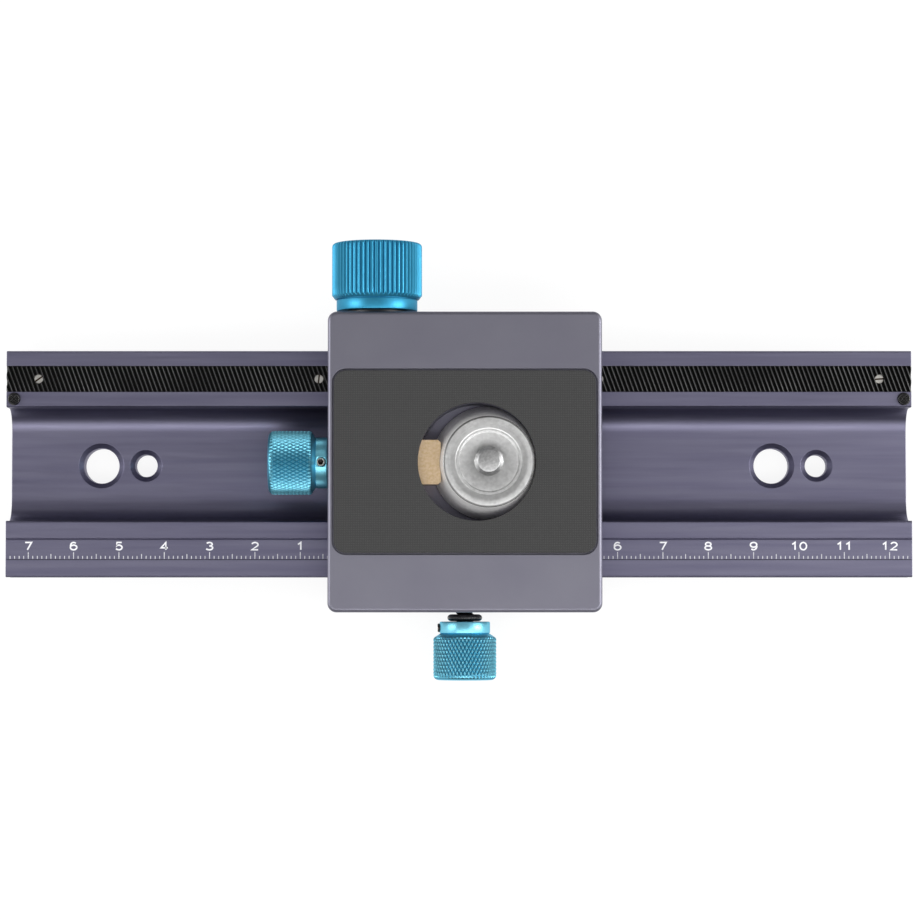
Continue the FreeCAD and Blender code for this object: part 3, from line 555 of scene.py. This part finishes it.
def knurledKnob(node, axis, bore, screwSide, body, look):
    low, high, place = boxOf(node)
    along = [i for i in range(3) if axis[i]][0]
    length = high[along] - low[along]
    place[along] = high[along] if axis[along] < 0 else low[along]
    grip, collarEnd = look["grip"], look["collarLength"]
    coneStart = collarEnd + look["coneStep"]
    gripStart = coneStart + look["coneLength"]
    depth = length - look["endWall"]
    plain = [(0, depth), (bore, depth), (bore, 0), (look["collar"], 0), (look["collar"], collarEnd),
             (look["coneFoot"], coneStart)]
    outline = roundedOutline(plain, look["collarEdge"], 2)
    firstCut = len(outline)
    outline += sloped((look["coneFoot"], coneStart), (grip, gripStart), look["coneRows"])[1:]
    step = look["knurlPitch"] / look["perKnurl"]
    firstStep = math.ceil(gripStart / step)
    lastStep = int((length - look["endRound"]) / step)
    firstKnurl = len(outline)
    outline += [(grip, k * step) for k in range(firstStep, lastStep + 1)]
    outline += roundedEnd(grip, length, look["endRound"], 9, 9)
    lastCut = len(outline) - 1
    outline += dishedEnd(look, length)

    def shape(row, angle, radius, distance):
        if row < firstCut or row >= lastCut:
            return radius
        return min(radius, grip - look["knurlDepth"] * (1 - knurlHeight(look, angle, distance)))

    def splitAt(row, column):
        k = row - firstKnurl + firstStep
        if row < firstKnurl or k >= lastStep:
            return None
        if (column - k) % look["perKnurl"] == 0:
            return True
        if (column + k + 1) % look["perKnurl"] == 0:
            return False
        return None

    finish = anodisedFinish(node + "_blue_anodised", paleBlueLook, axis, place, grip, look["knurlDepth"])
    knob = spin(node + "_knurled", outline, place, axis, finish, body,
                look["knurlsAround"] * look["perKnurl"], False, shape, splitAt, look["sharpAngle"])
    drillCollar(knob, place, axis, screwSide, look)
    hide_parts(node)


knurledKnob("lock_knob", (0, -1, 0), 2.01, (-1, 0, 0), "lock_knob", smallKnob)
knurledKnob("clamp_knob", (-1, 0, 0), 2.51, (0, 0, 1), "clamp_knob", smallKnob)
print("small knobs knurled")

# focus knob
focusKnob = {
    "grip": 9.9, "collar": 8.9, "collarLength": 2.35, "collarEdge": 0.2, "groove": 8.62, "grooveLength": 0.22,
    "bevelFoot": 9.25, "bevelLength": 0.85, "flutes": 60, "fluteDepth": 0.42, "perFlute": 8, "rimRound": 0.8,
    "bevelRows": 7, "gripRows": 8, "fluteMiddle": 0.62, "fluteHalf": 0.34, "bore": 2.01, "endWall": 4.0,
    "endDish": 6.9, "dishSlope": 0.3, "dishDepth": 0.4, "setScrewHole": 1.06, "holeAt": 1.155,
    "sharpAngle": 26,
}


def flutedKnob(node, body, look):
    low, high, place = boxOf(node)
    place.y = low.y
    length = high.y - low.y
    bevelStart = look["collarLength"] + look["grooveLength"]
    gripStart = bevelStart + look["bevelLength"]
    depth = length - look["endWall"]
    grip = look["grip"]
    plain = [(0, depth), (look["bore"], depth), (look["bore"], 0), (look["collar"], 0),
             (look["collar"], look["collarLength"]), (look["groove"], look["collarLength"] + 0.05),
             (look["groove"], bevelStart)]
    outline = roundedOutline(plain, look["collarEdge"], 2)
    firstFlute = len(outline)
    outline += sloped((look["bevelFoot"], bevelStart), (grip, gripStart), look["bevelRows"])
    outline += sloped((grip, gripStart), (grip, length - look["rimRound"]), look["gripRows"])
    outline += roundedEnd(grip, length, look["rimRound"], 0, 10)
    lastFlute = len(outline) - 1
    outline += dishedEnd(look, length)

    def shape(row, angle, radius, distance):
        if row < firstFlute or row >= lastFlute:
            return radius
        share = (angle / (2 * math.pi) * look["flutes"]) % 1
        # a land, then a flute with a leaning V section
        valley = max(0.0, 1 - abs(share - look["fluteMiddle"]) / look["fluteHalf"])
        return min(radius, grip - look["fluteDepth"] * valley)

    axis = (0, 1, 0)
    finish = anodisedFinish("focus_knob_blue_anodised", blueLook, axis, place, grip, look["fluteDepth"])
    knob = spin("focus_knob_fluted", outline, place, axis, finish, body,
                look["flutes"] * look["perFlute"], False, shape, None, look["sharpAngle"])
    drillCollar(knob, place, axis, (0, 0, -1), look)
    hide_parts(node)


flutedKnob("focus_knob", "focus_drive", focusKnob)
print("focus knob fluted")

# set screws with a hexagonal socket
setScrew = {
    "radius": 0.95, "edge": 0.12, "rimInner": 0.62, "flats": 0.95, "socketDepth": 1.1, "socketCone": 0.2,
    "columns": 48,
    "screws": {  # which way the socket looks, how much longer than its node, and the body
        "focus_knob_set_screw": ((0, 0, -1), 0.0, "focus_drive"),
        "lock_knob_set_screw": ((-1, 0, 0), 1.45, "lock_knob"),
        "clamp_knob_set_screw": ((0, 0, 1), 0.38, "clamp_knob"),
    },
}


def setScrewPieces(look):
    # painted shade: a dark finish so the hex socket reads as a shaded hole, only the rim faces get bright
    # steel
    socketShadeFinish = machinedFinish("screw_socket_black", dict(blackSteelLook, color=(0.045, 0.03, 0.026)))
    for node, (axis, extra, body) in look["screws"].items():
        low, high, place = boxOf(node)
        along = [i for i in range(3) if axis[i]][0]
        length = high[along] - low[along] + extra
        place[along] = low[along] if axis[along] > 0 else high[along]
        radius, edge = look["radius"], look["edge"]
        flat, foot = look["flats"] / 2, length - look["socketDepth"]
        outline = [(0, 0), (radius - edge, 0), (radius, edge), (radius, length - edge),
                   (radius - edge, length), (look["rimInner"], length), (flat, length - edge)]
        firstSocket = len(outline) - 1
        outline += [(flat, foot), (0, foot - look["socketCone"])]

        def shape(row, angle, wide, distance):
            if row < firstSocket or wide == 0:
                return wide
            fromFlat = (angle + math.pi / 6) % (math.pi / 3) - math.pi / 6
            return wide / math.cos(fromFlat)

        screw = spin(node + "_socketed", outline, place, axis, socketShadeFinish, body,
                     look["columns"], False, shape)
        screw.data.materials.append(brightSteelFinish)
        for face in screw.data.polygons:
            away = face.center / mm - place
            fromFoot = away.dot(Vector(axis))
            beside = (away - Vector(axis) * fromFoot).length
            if fromFoot > length - 1.5 * edge and beside > 0.9 * look["rimInner"]:
                face.material_index = 1
        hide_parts(node)


setScrewPieces(setScrew)
print("set screws made")

# threads of the clamp and lock screws
clampThread = {
    "radius": 2.5, "pitch": 0.8, "depth": 0.38, "edge": 0.3, "runOut": 0.6, "coreStart": 0.4, "columns": 32,
    "hookNeck": 1.4, "hookNeckLength": 1.45, "hookHead": 2.1, "hookHeadLength": 1.2, "hookEdge": 0.12,
}
lockThread = {"radius": 2.0, "pitch": 0.7, "depth": 0.33, "chamfer": 0.4, "runOut": 0.1, "columns": 32}


def clampScrew(look):
    low, high, middle = boxOf("clamp_screw")
    length = high.x - low.x
    headStart = length - look["hookHeadLength"]
    end = headStart - look["hookNeckLength"]
    radius, neck, head = look["radius"], look["hookNeck"], look["hookHead"]
    core = radius - look["depth"]
    outline = [(0, 0), (radius - look["edge"], 0)]
    firstThread = len(outline)
    outline += threadRows(radius, look["edge"], end - look["runOut"], look["pitch"])
    shape = threadShape(look, range(firstThread, len(outline)))
    tail = [(core, end - look["coreStart"]), (core, end), (neck, end), (neck, headStart), (head, headStart),
            (head, length), (0, length)]
    outline += roundedOutline(tail, look["hookEdge"], 2)
    screw = spin("clamp_screw_threaded", outline, (low.x, middle.y, middle.z), (1, 0, 0), brightSteelFinish,
                 "clamp_knob", look["columns"], False, shape)
    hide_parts("clamp_screw")


def lockScrew(look):
    low, high, middle = boxOf("lock_screw")
    length = high.y - low.y
    radius = look["radius"]
    outline = [(0, 0), (radius - look["chamfer"], 0)]
    firstThread = len(outline)
    outline += threadRows(radius, look["runOut"], length - look["runOut"], look["pitch"])

    def widest(distance):
        return radius - look["chamfer"] + min(distance, length - distance)

    shape = threadShape(look, range(firstThread, len(outline)), widest)
    outline += [(radius - look["chamfer"], length), (0, length)]
    screw = spin("lock_screw_threaded", outline, (middle.x, low.y, middle.z), (0, 1, 0), blackSteelFinish,
                 "lock_knob", look["columns"], False, shape)
    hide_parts("lock_screw")


clampScrew(clampThread)
lockScrew(lockThread)

oRing = {"middle": 2.98, "halfWide": 0.9, "sides": 24, "columns": 72}
ringLook = dict(nylonLook, rough=(0.22, 0.34), specular=0.6, edgeShare=0.0)


def oRingPiece(look):
    low, high, middle = boxOf("lock_o_ring")
    half = (high.y - low.y) / 2
    outline = [(look["middle"] + look["halfWide"] * math.cos(t), half * math.sin(t))
               for t in fullTurn(look["sides"])]
    ring = spin("lock_o_ring_rubber", outline, middle, (0, 1, 0), machinedFinish("o_ring_rubber", ringLook),
                "lock_knob", look["columns"], True)
    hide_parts("lock_o_ring")


oRingPiece(oRing)
print("threads and O-ring made")

# camera button and screw
buttonLook = {
    "color": (0.7, 0.7, 0.695), "drift": (0.82, 0.82, 0.815), "driftSize": 0.7, "ringSize": 0.16,
    "ringDepth": 0.0012, "rough": (0.32, 0.44),
    "paintedBands": ((0, 0.8), (3.3, 0.76), (6.2, 0.9), (6.35, 1.0), (6.55, 0.9), (7.0, 0.88), (7.16, 1.0),
              (7.4, 0.68), (8.2, 0.66), (8.8, 0.94), (9.5, 0.98), (9.64, 0.3), (12.5, 0.3)),
}
screwLook = dict(
    buttonLook, color=(0.42, 0.42, 0.42), drift=(0.62, 0.62, 0.62), driftSize=0.5, ringSize=0.1,
    paintedBands=((0, 0.9), (2.2, 0.9), (2.4, 1.0), (6.0, 1.0)))
flankLook = {
    "color": (0.84, 0.83, 0.82), "drift": (0.94, 0.93, 0.92), "driftSize": 0.9, "metallic": 0.15,
    "edgeHighlightColor": (0.9, 0.9, 0.9), "edgeShare": 0.2, "edgeWidth": 0.05,
    "rough": (0.42, 0.56), "grainSize": 0.3, "grainDepth": 0.002,
}
cameraButton = {
    "edge": 0.35, "rim": 1.6, "topRadius": 9.9, "topEdge": 0.14, "topRing": 8.5, "dish": 7.2,
    "dishEdge": 0.15, "stepEdge": 0.07, "stepDepth": 0.13, "innerDish": 6.58, "dishDepth": 0.25, "neck": 2.6,
    "headRoom": 5.55, "headDeep": 2.25, "ribs": 120, "ribDepth": 0.05, "ribEnd": 0.3,
    "ribRows": (0.2, 0.5, 1, 2, 3, 4, 5, 6, 7),
}


def cameraButtonPiece(look):
    low, high, middle = boxOf("camera_button")
    base = (high.x - low.x) / 2
    height = high.z - low.z
    rim, top, dish, inner = look["rim"], look["topRadius"], look["dish"], look["innerDish"]
    slope = (base - top) / (height - rim)
    flankTop = height - look["topEdge"]
    plain = [(look["headRoom"], 0), (base - look["edge"], 0), (base, look["edge"]), (base, rim)]
    outline = roundedOutline(plain, 0.1, 2)
    firstRib = len(outline)
    ribRows = [rim + z for z in look["ribRows"]] + [flankTop - look["ribEnd"]]
    outline += [(base - slope * (z - rim), z) for z in ribRows]
    lastRib = len(outline) - 1
    face, step = height - look["dishDepth"], height - look["stepDepth"]
    rest = [(top + slope * look["topEdge"], flankTop), (top - look["topEdge"], height),
            (look["topRing"], height), (dish + look["dishEdge"], height - look["stepEdge"]), (dish, step),
            (inner + 0.1, step), (inner - 0.12, face), (look["neck"], face), (look["neck"], look["headDeep"]),
            (look["headRoom"], look["headDeep"])]
    outline += roundedOutline(rest, 0.12, 3)

    def shape(row, angle, radius, distance):
        if row < firstRib or row > lastRib:
            return radius
        return radius - look["ribDepth"] * (round(angle / (2 * math.pi) * 2 * look["ribs"]) % 2)

    place = (middle.x, middle.y, low.z)
    finish = turnedFinish("turned_stainless", buttonLook, (0, 0, 1), place)
    button = spin("camera_button_turned", outline, place, (0, 0, 1), finish, "camera_button",
                  2 * look["ribs"], True, shape)
    mesh = button.data
    mesh.materials.append(machinedFinish("ribbed_stainless", flankLook))
    for face in mesh.polygons:
        if (face.center / mm - middle).xy.length > top + 0.05:
            face.material_index = 1
    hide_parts("camera_button")


cameraScrew = {
    "radius": 3.17, "pitch": 1.27, "depth": 0.62, "head": 5.5, "headLength": 1.7, "neck": 2.45,
    "tipChamfer": 0.8, "threadStart": 9.75, "rowsPerPitch": 14, "slotWidth": 1.3, "slotDepth": 0.85,
    "columns": 72,
}


def cameraScrewPiece(look):
    low, high, middle = boxOf("camera_screw")
    length = high.z - low.z
    start, head, neck = look["threadStart"], look["head"], look["neck"]
    plain = [(0, 0), (head, 0), (head, look["headLength"]), (neck, look["headLength"]), (neck, start)]
    outline = roundedOutline(plain, 0.2, 2)
    firstThread = len(outline)
    outline += threadRows(look["radius"], start, length - 0.02, look["pitch"], look["rowsPerPitch"])

    def widest(distance):
        # the chamfered tip and the run-out at the neck
        tip = look["radius"] - look["tipChamfer"] + (length - distance)
        return min(tip, neck + (distance - start))

    shape = threadShape(look, range(firstThread, len(outline)), widest)
    outline += [(look["radius"] - look["tipChamfer"] - 0.05, length), (0, length)]
    place = Vector((middle.x, middle.y, low.z))
    finish = turnedFinish("screw_stainless", screwLook, (0, 0, 1), place)
    screw = spin("camera_screw_threaded", outline, place, (0, 0, 1), finish, "camera_screw",
                 look["columns"], False, shape)
    away = Vector((head * 1.2, look["slotWidth"] / 2, look["slotDepth"]))
    near, far = place - away, place + away
    points, faces = [], []
    plate(points, faces, near.x, near.y, far.x, far.y, near.z, far.z)
    cutAway(screw, [newPiece("cutter", points, faces, blackSteelFinish, "rail")])
    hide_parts("camera_screw")


cameraButtonPiece(cameraButton)
cameraScrewPiece(cameraScrew)
print("camera button and screw turned")

# grip pad
gripPad = {
    "corner": 2.7, "hole": 12.85, "wayIn": -2.6, "edgeRound": 0.16, "holeSteps": 96, "cornerSteps": 10,
    "sharpAngle": 40,
}


def gripPadPiece(look):
    low, high, middle = boxOf("grip_pad")
    holeX = boxOf("camera_button")[2].x + look["wayIn"]
    bend = look["edgeRound"]
    corner = look["corner"] - bend
    outer = []
    corners = ((high.x, high.y, 0), (low.x, high.y, 90), (low.x, low.y, 180), (high.x, low.y, 270))
    for cx, cy, first in corners:
        inX = cx - math.copysign(look["corner"], cx - middle.x)
        inY = cy - math.copysign(look["corner"], cy)
        for i in range(look["cornerSteps"] + 1):
            t = math.radians(first + 90 * i / look["cornerSteps"])
            outer.append((inX + corner * math.cos(t), inY + corner * math.sin(t)))
    wide = look["hole"] + bend
    hole = [(holeX + wide * math.cos(t), wide * math.sin(t)) for t in fullTurn(look["holeSteps"])]
    curve = bpy.data.curves.new("grip_pad_outline", "CURVE")
    curve.dimensions = "2D"
    curve.fill_mode = "BOTH"
    for outline in (outer, hole):
        spline = curve.splines.new("POLY")
        spline.points.add(len(outline) - 1)
        spline.use_cyclic_u = True
        for point, (x, y) in zip(spline.points, outline):
            point.co = (x * mm, y * mm, 0, 1)
    thickness = high.z - low.z
    curve.extrude = (thickness / 2 - bend) * mm
    curve.bevel_depth = bend * mm
    curve.bevel_resolution = 3
    holder = placed("grip_pad_outline", curve)
    graph = bpy.context.evaluated_depsgraph_get()
    mesh = bpy.data.meshes.new_from_object(holder.evaluated_get(graph))
    bpy.data.objects.remove(holder)
    mesh.transform(Matrix.Translation((0, 0, (low.z + high.z) / 2 * mm)))
    mesh.materials.clear()
    mesh.materials.append(rubberFinish(rubberLook))
    smoothed(mesh, look["sharpAngle"])
    pad = placed("grip_pad_ribbed", mesh)
    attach(pad, "carriage")
    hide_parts("grip_pad")


gripPadPiece(gripPad)

# threads in the rail's floor holes
floorThreads = {
    "holes": ((-80, 4.05, 1.5875), (-70, 2.6, 1.27), (70, 4.05, 1.5875), (80, 2.6, 1.27)),  # x, radius, pitch
    "low": 0.75, "high": 4.95, "rise": 0.11, "clear": 0.02, "backing": 0.06, "columns": 64,
}


def floorThreadPieces(look):
    for number, (x, radius, pitch) in enumerate(look["holes"], 1):
        outline = threadRows(radius, look["low"], look["high"], pitch)
        threadCount = len(outline)
        back = radius + look["backing"]
        outline += [(back, look["high"]), (back, look["low"])]

        def shape(row, angle, wide, distance):
            if row >= threadCount:
                return wide
            return threadRadius(wide - look["clear"], look["rise"], pitch, angle, distance)

        spin("floor_thread_%d" % number, outline, (x, 0, 0), (0, 0, 1), railFinish, "rail",
             look["columns"], True, shape)


floorThreadPieces(floorThreads)

# rail with its floor holes countersunk
countersunk = {"floor": 6.0, "wide": 1.0, "run": 0.4, "overlap": 0.05, "sides": 72, "sharpAngle": 28}


def countersunkRail(look):
    source = cadNodes["rail"].data
    rail = newPiece("rail_countersunk", [v.co / mm for v in source.vertices],
                    [tuple(face.vertices) for face in source.polygons], railFinish, "rail")
    whole = bmesh.new()
    whole.from_mesh(rail.data)
    bmesh.ops.remove_doubles(whole, verts=whole.verts, dist=1e-6)
    whole.to_mesh(rail.data)
    whole.free()
    cutters = []
    for x, radius in (hole[:2] for hole in floorThreads["holes"]):
        inner = radius - look["overlap"]
        outer = radius + look["wide"] + look["run"]
        deep = outer - inner
        outline = [(0, 0), (inner, 0), (outer, deep), (0, deep)]
        foot = (x, 0, look["floor"] + look["run"] - deep)
        cutters.append(spin("cutter", outline, foot, (0, 0, 1), railFinish, "rail", columns=look["sides"]))
    cutAway(rail, cutters)
    rail.data.set_sharp_from_angle(angle=math.radians(look["sharpAngle"]))
    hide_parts("rail")


countersunkRail(countersunk)
print("pad, floor threads and rail made")

# scale
scaleLook = {
    "zero": -25.0, "perNumber": 10.0, "left": 7, "right": 12, "firstTick": -74, "lastTick": 124,
    "tickFoot": -20.95, "longTick": 1.5, "halfTick": 1.05, "shortTick": 0.64, "tickWidth": 0.16,
    "lineWidth": 0.2, "lineGap": 0.08, "numberMiddle": -18.15, "numberHigh": 1.62, "numberWide": 1.42,
    "stroke": 0.33, "numberStep": 1.93, "paint": 0.02, "lineEnd": 0.1, "layerRise": 0.2,
}


def bend(cx, cy, rx, ry, first, last, steps=14):
    # part of an oval, on a digit one wide and one high
    turns = [math.radians(first + (last - first) * i / steps) for i in range(steps + 1)]
    return [(cx + rx * math.cos(t), cy + ry * math.sin(t)) for t in turns]


digitStrokes = {
    "0": [bend(0.5, 0.5, 0.5, 0.5, 0, 360, 28)],
    "1": [[(0.14, 0.73), (0.58, 1.0), (0.58, 0.0)]],
    "2": [bend(0.5, 0.7, 0.47, 0.3, 165, -30) + [(0.02, 0.0), (1.0, 0.0)]],
    "3": [bend(0.46, 0.76, 0.44, 0.24, 155, -90), bend(0.46, 0.26, 0.52, 0.26, 90, -155)],
    "4": [[(0.74, 0.0), (0.74, 1.0), (0.0, 0.27), (1.05, 0.27)]],
    "5": [[(0.93, 1.0), (0.2, 1.0), (0.1, 0.5)] + bend(0.48, 0.32, 0.5, 0.32, 135, -150)],
    "6": [bend(0.5, 0.5, 0.5, 0.5, 48, 180), bend(0.5, 0.32, 0.5, 0.32, 180, -180, 24)],
    "7": [[(0.0, 1.0), (1.0, 1.0), (0.36, 0.0)]],
    "8": [bend(0.5, 0.76, 0.42, 0.24, 0, 360, 22), bend(0.5, 0.26, 0.5, 0.26, 0, 360, 24)],
}
digitStrokes["9"] = [[(1 - x, 1 - y) for x, y in stroke] for stroke in digitStrokes["6"]]


def scaleTicks(look, top):
    points, faces = [], []
    half, foot, paint = look["tickWidth"] / 2, look["tickFoot"], look["paint"]
    for tick in range(look["firstTick"], look["lastTick"] + 1):
        x = look["zero"] + tick * look["perNumber"] / 10
        kind = "longTick" if tick % 10 == 0 else "halfTick" if tick % 5 == 0 else "shortTick"
        plate(points, faces, x - half, foot, x + half, foot + look[kind], top - paint, top + paint)
    newPiece("scale_ticks", points, faces, tickFinish, "rail")
    low, high = boxOf("rail")[:2]
    points, faces = [], []
    y, end = foot - look["lineGap"], look["lineEnd"]
    plate(points, faces, low.x + end, y - look["lineWidth"], high.x - end, y, top - paint, top + paint / 4)
    newPiece("scale_base_line", points, faces, scribedFinish, "rail")


def paintedStroke(points, faces, line, half, low, high):
    # a flat bar along a line, its corners mitred, its ends square
    closed = (Vector(line[0]) - Vector(line[-1])).length < 1e-6
    path = [Vector(p) for p in (line[:-1] if closed else line)]
    count = len(path)
    start = len(points)
    for i, here in enumerate(path):
        before = path[i - 1] if closed or i else None
        after = path[(i + 1) % count] if closed or i < count - 1 else None
        inward = (here - before).normalized() if before else (after - here).normalized()
        onward = (after - here).normalized() if after else inward
        sideIn, sideOn = Vector((-inward.y, inward.x)), Vector((-onward.y, onward.x))
        mitre = (sideIn + sideOn).normalized()
        reach = min(half / max(mitre.dot(sideOn), 0.35), 2.2 * half)
        for side in (1, -1):
            for z in (low, high):
                points.append((here.x + side * reach * mitre.x, here.y + side * reach * mitre.y, z))
    for i in range(count if closed else count - 1):
        a, b = start + 4 * i, start + 4 * ((i + 1) % count)
        for u, v in ((0, 2), (3, 1), (1, 0), (2, 3)):
            faces.append((a + u, a + v, b + v, b + u))
    if not closed:
        last = start + 4 * (count - 1)
        faces += [(start, start + 1, start + 3, start + 2), (last, last + 2, last + 3, last + 1)]


def scaleNumbers(look, top):
    points, faces = [], []
    for number in range(-look["left"], look["right"] + 1):
        digits = str(abs(number))
        y = look["numberMiddle"] - look["numberHigh"] / 2
        for place, digit in enumerate(digits):
            beside = (place - (len(digits) - 1) / 2) * look["numberStep"]
            x = look["zero"] + number * look["perNumber"] + beside - look["numberWide"] / 2
            for layer, stroke in enumerate(digitStrokes[digit]):
                line = [(x + px * look["numberWide"], y + py * look["numberHigh"]) for px, py in stroke]
                paintedStroke(points, faces, line, look["stroke"] / 2, top - look["paint"],
                              top + look["paint"] * (1 + look["layerRise"] * layer))
    newPiece("scale_numbers", points, faces, paintFinish, "rail")


railTop = boxOf("rail")[1].z
scaleTicks(scaleLook, railTop)
scaleNumbers(scaleLook, railTop)
print("scale printed")

# machined pieces
# the end-stop screws carry a strong painted highlight on their edges
stopLook = dict(blackSteelLook, edgeHighlightColor=(0.34, 0.34, 0.34), edgeShare=0.9, edgeWidth=0.1)
for node, finish, slotName in (
        ("rack", rackFinish(rackLook), "black_steel"),
        ("rack_screws", screwHeadFinish(headLook), "bright_steel"),
        ("end_stop_screws", machinedFinish("stop_screw_black", stopLook), "black_steel"),
        ("carriage_body", carriageFinish, "carriage_anodised"),
        ("inner_shaft_bush", bronzeFinish, "bronze"), ("outer_shaft_bush", bronzeFinish, "bronze"),
        ("gib_adjusting_screws", blackSteelFinish, "black_steel"),
        ("pinion_shaft", brightSteelFinish, "bright_steel"), ("shaft_thrust_washer", nylonFinish, "nylon"),
        ("lock_gib", brassFinish, "brass"), ("clamp_shoe", brassFinish, "brass")):
    piece = cadNodes[node]
    piece.data.materials.clear()
    piece.data.materials.append(finish)
print("CAD pieces finished")

# studio
studio = {
    "floorSize": 3000.0, "floorDrop": 0.05, "floorPaper": 0.8, "floorGlow": 1.1, "floorGlowShare": 0.8,
    "roomLevel": 0.55,
}
lampAim = (0, 0, 10)
lamps = {
    "key": {"place": (20, -250, 620), "size": (1100, 240), "watts": 2.3},
    "left": {"place": (-620, 60, 330), "size": (160, 420), "watts": 1.6},
    "right": {"place": (620, 20, 330), "size": (160, 420), "watts": 2.2},
}
# dim panels seen only as reflections, they give the metal its darker tones
cards = {
    "overheadCard": {"place": (-500, 250, 1100), "facing": (0, 0, -1), "size": (1900, 1700), "tone": 0.28},
    "frontCard": {"place": (0, -900, 450), "facing": (0, 1, 0), "size": (2600, 900), "tone": 0.1},
    "backCard": {"place": (0, 900, 350), "facing": (0, -1, 0), "size": (2600, 700), "tone": 0.15},
}


def whiteForBackground(tree):
    # 1 on the rays that see the backdrop, straight, mirrored or through the object
    rays = addNode(tree, "LightPath").outputs
    seen = mathNode(tree, "MAXIMUM", rays["Is Camera Ray"], rays["Is Glossy Ray"])
    return mathNode(tree, "MAXIMUM", seen, rays["Is Transmission Ray"])


def newPanel(name, width, height, finish):
    # a flat sheet around its own middle
    mesh = bpy.data.meshes.new(name)
    corners = [(-width, -height, 0), (width, -height, 0), (width, height, 0), (-width, height, 0)]
    mesh.from_pydata(corners, [], [(0, 1, 2, 3)])
    mesh.materials.append(finish)
    return placed(name, mesh)


def makeFloor(look):
    finish, tree = blankFinish("pale_floor")
    paper = addNode(tree, "BsdfDiffuse", {"Color": (*[look["floorPaper"]] * 3, 1)}).outputs[0]
    glow = addNode(tree, "Emission", {"Strength": look["floorGlow"]}).outputs[0]
    share = between(tree, whiteForBackground(tree), 0, 1, 0, look["floorGlowShare"])
    mix = addNode(tree, "MixShader", {"Fac": share, 1: paper, 2: glow}).outputs[0]
    addNode(tree, "OutputMaterial", {"Surface": mix})
    half = look["floorSize"] / 2 * mm
    floor = newPanel("floor", half, half, finish)
    floor.location.z = -look["floorDrop"] * mm


def makeWorld(look):
    world = bpy.data.worlds.new("studio")
    stageScene.world = world
    tree = blankTree(world)
    color = (1, 1, 1, 1)
    room, white = [addNode(tree, "Background", {"Color": color, "Strength": level}).outputs[0]
                   for level in (look["roomLevel"], 1.0)]
    share = whiteForBackground(tree)
    mix = addNode(tree, "MixShader", {"Fac": share, 1: room, 2: white}).outputs[0]
    addNode(tree, "OutputWorld", {"Surface": mix})


def makeLamps(looks):
    for name, lamp in looks.items():
        light = bpy.data.lights.new(name, "AREA")
        light.shape = "RECTANGLE"
        light.size, light.size_y = (s * mm for s in lamp["size"])
        light.energy = lamp["watts"]
        holder = placed(name, light)
        holder.location = Vector(lamp["place"]) * mm
        toward = (Vector(lampAim) - Vector(lamp["place"])).normalized()
        holder.rotation_euler = toward.to_track_quat("-Z", "Y").to_euler()


def makeCards(looks):
    for name, card in looks.items():
        finish, tree = blankFinish(name)
        glow = addNode(tree, "Emission", {"Strength": card["tone"]}).outputs[0]
        addNode(tree, "OutputMaterial", {"Surface": glow})
        panel = newPanel(name, *(side / 2 * mm for side in card["size"]), finish)
        panel.location = Vector(card["place"]) * mm
        panel.rotation_euler = Vector(card["facing"]).to_track_quat("Z", "Y").to_euler()
        panel.visible_camera = panel.visible_diffuse = False
        panel.visible_shadow = panel.visible_transmission = False


cameraLook = {"place": (0.236, -31.3, 765.3), "tilt": 0.0429, "lens": 132.89, "sensor": 36.0}


def makeCamera(look):
    camera = bpy.data.cameras.new("camera")
    camera.lens = look["lens"]
    camera.sensor_width = look["sensor"]
    camera.clip_start, camera.clip_end = 0.01, 20
    holder = placed("camera", camera)
    holder.location = Vector(look["place"]) * mm
    holder.rotation_euler = (look["tilt"], 0, 0)
    stageScene.camera = holder


makeFloor(studio)
makeWorld(studio)
makeLamps(lamps)
makeCards(cards)
makeCamera(cameraLook)
stageScene.view_settings.view_transform = "Standard"
print("studio ready")
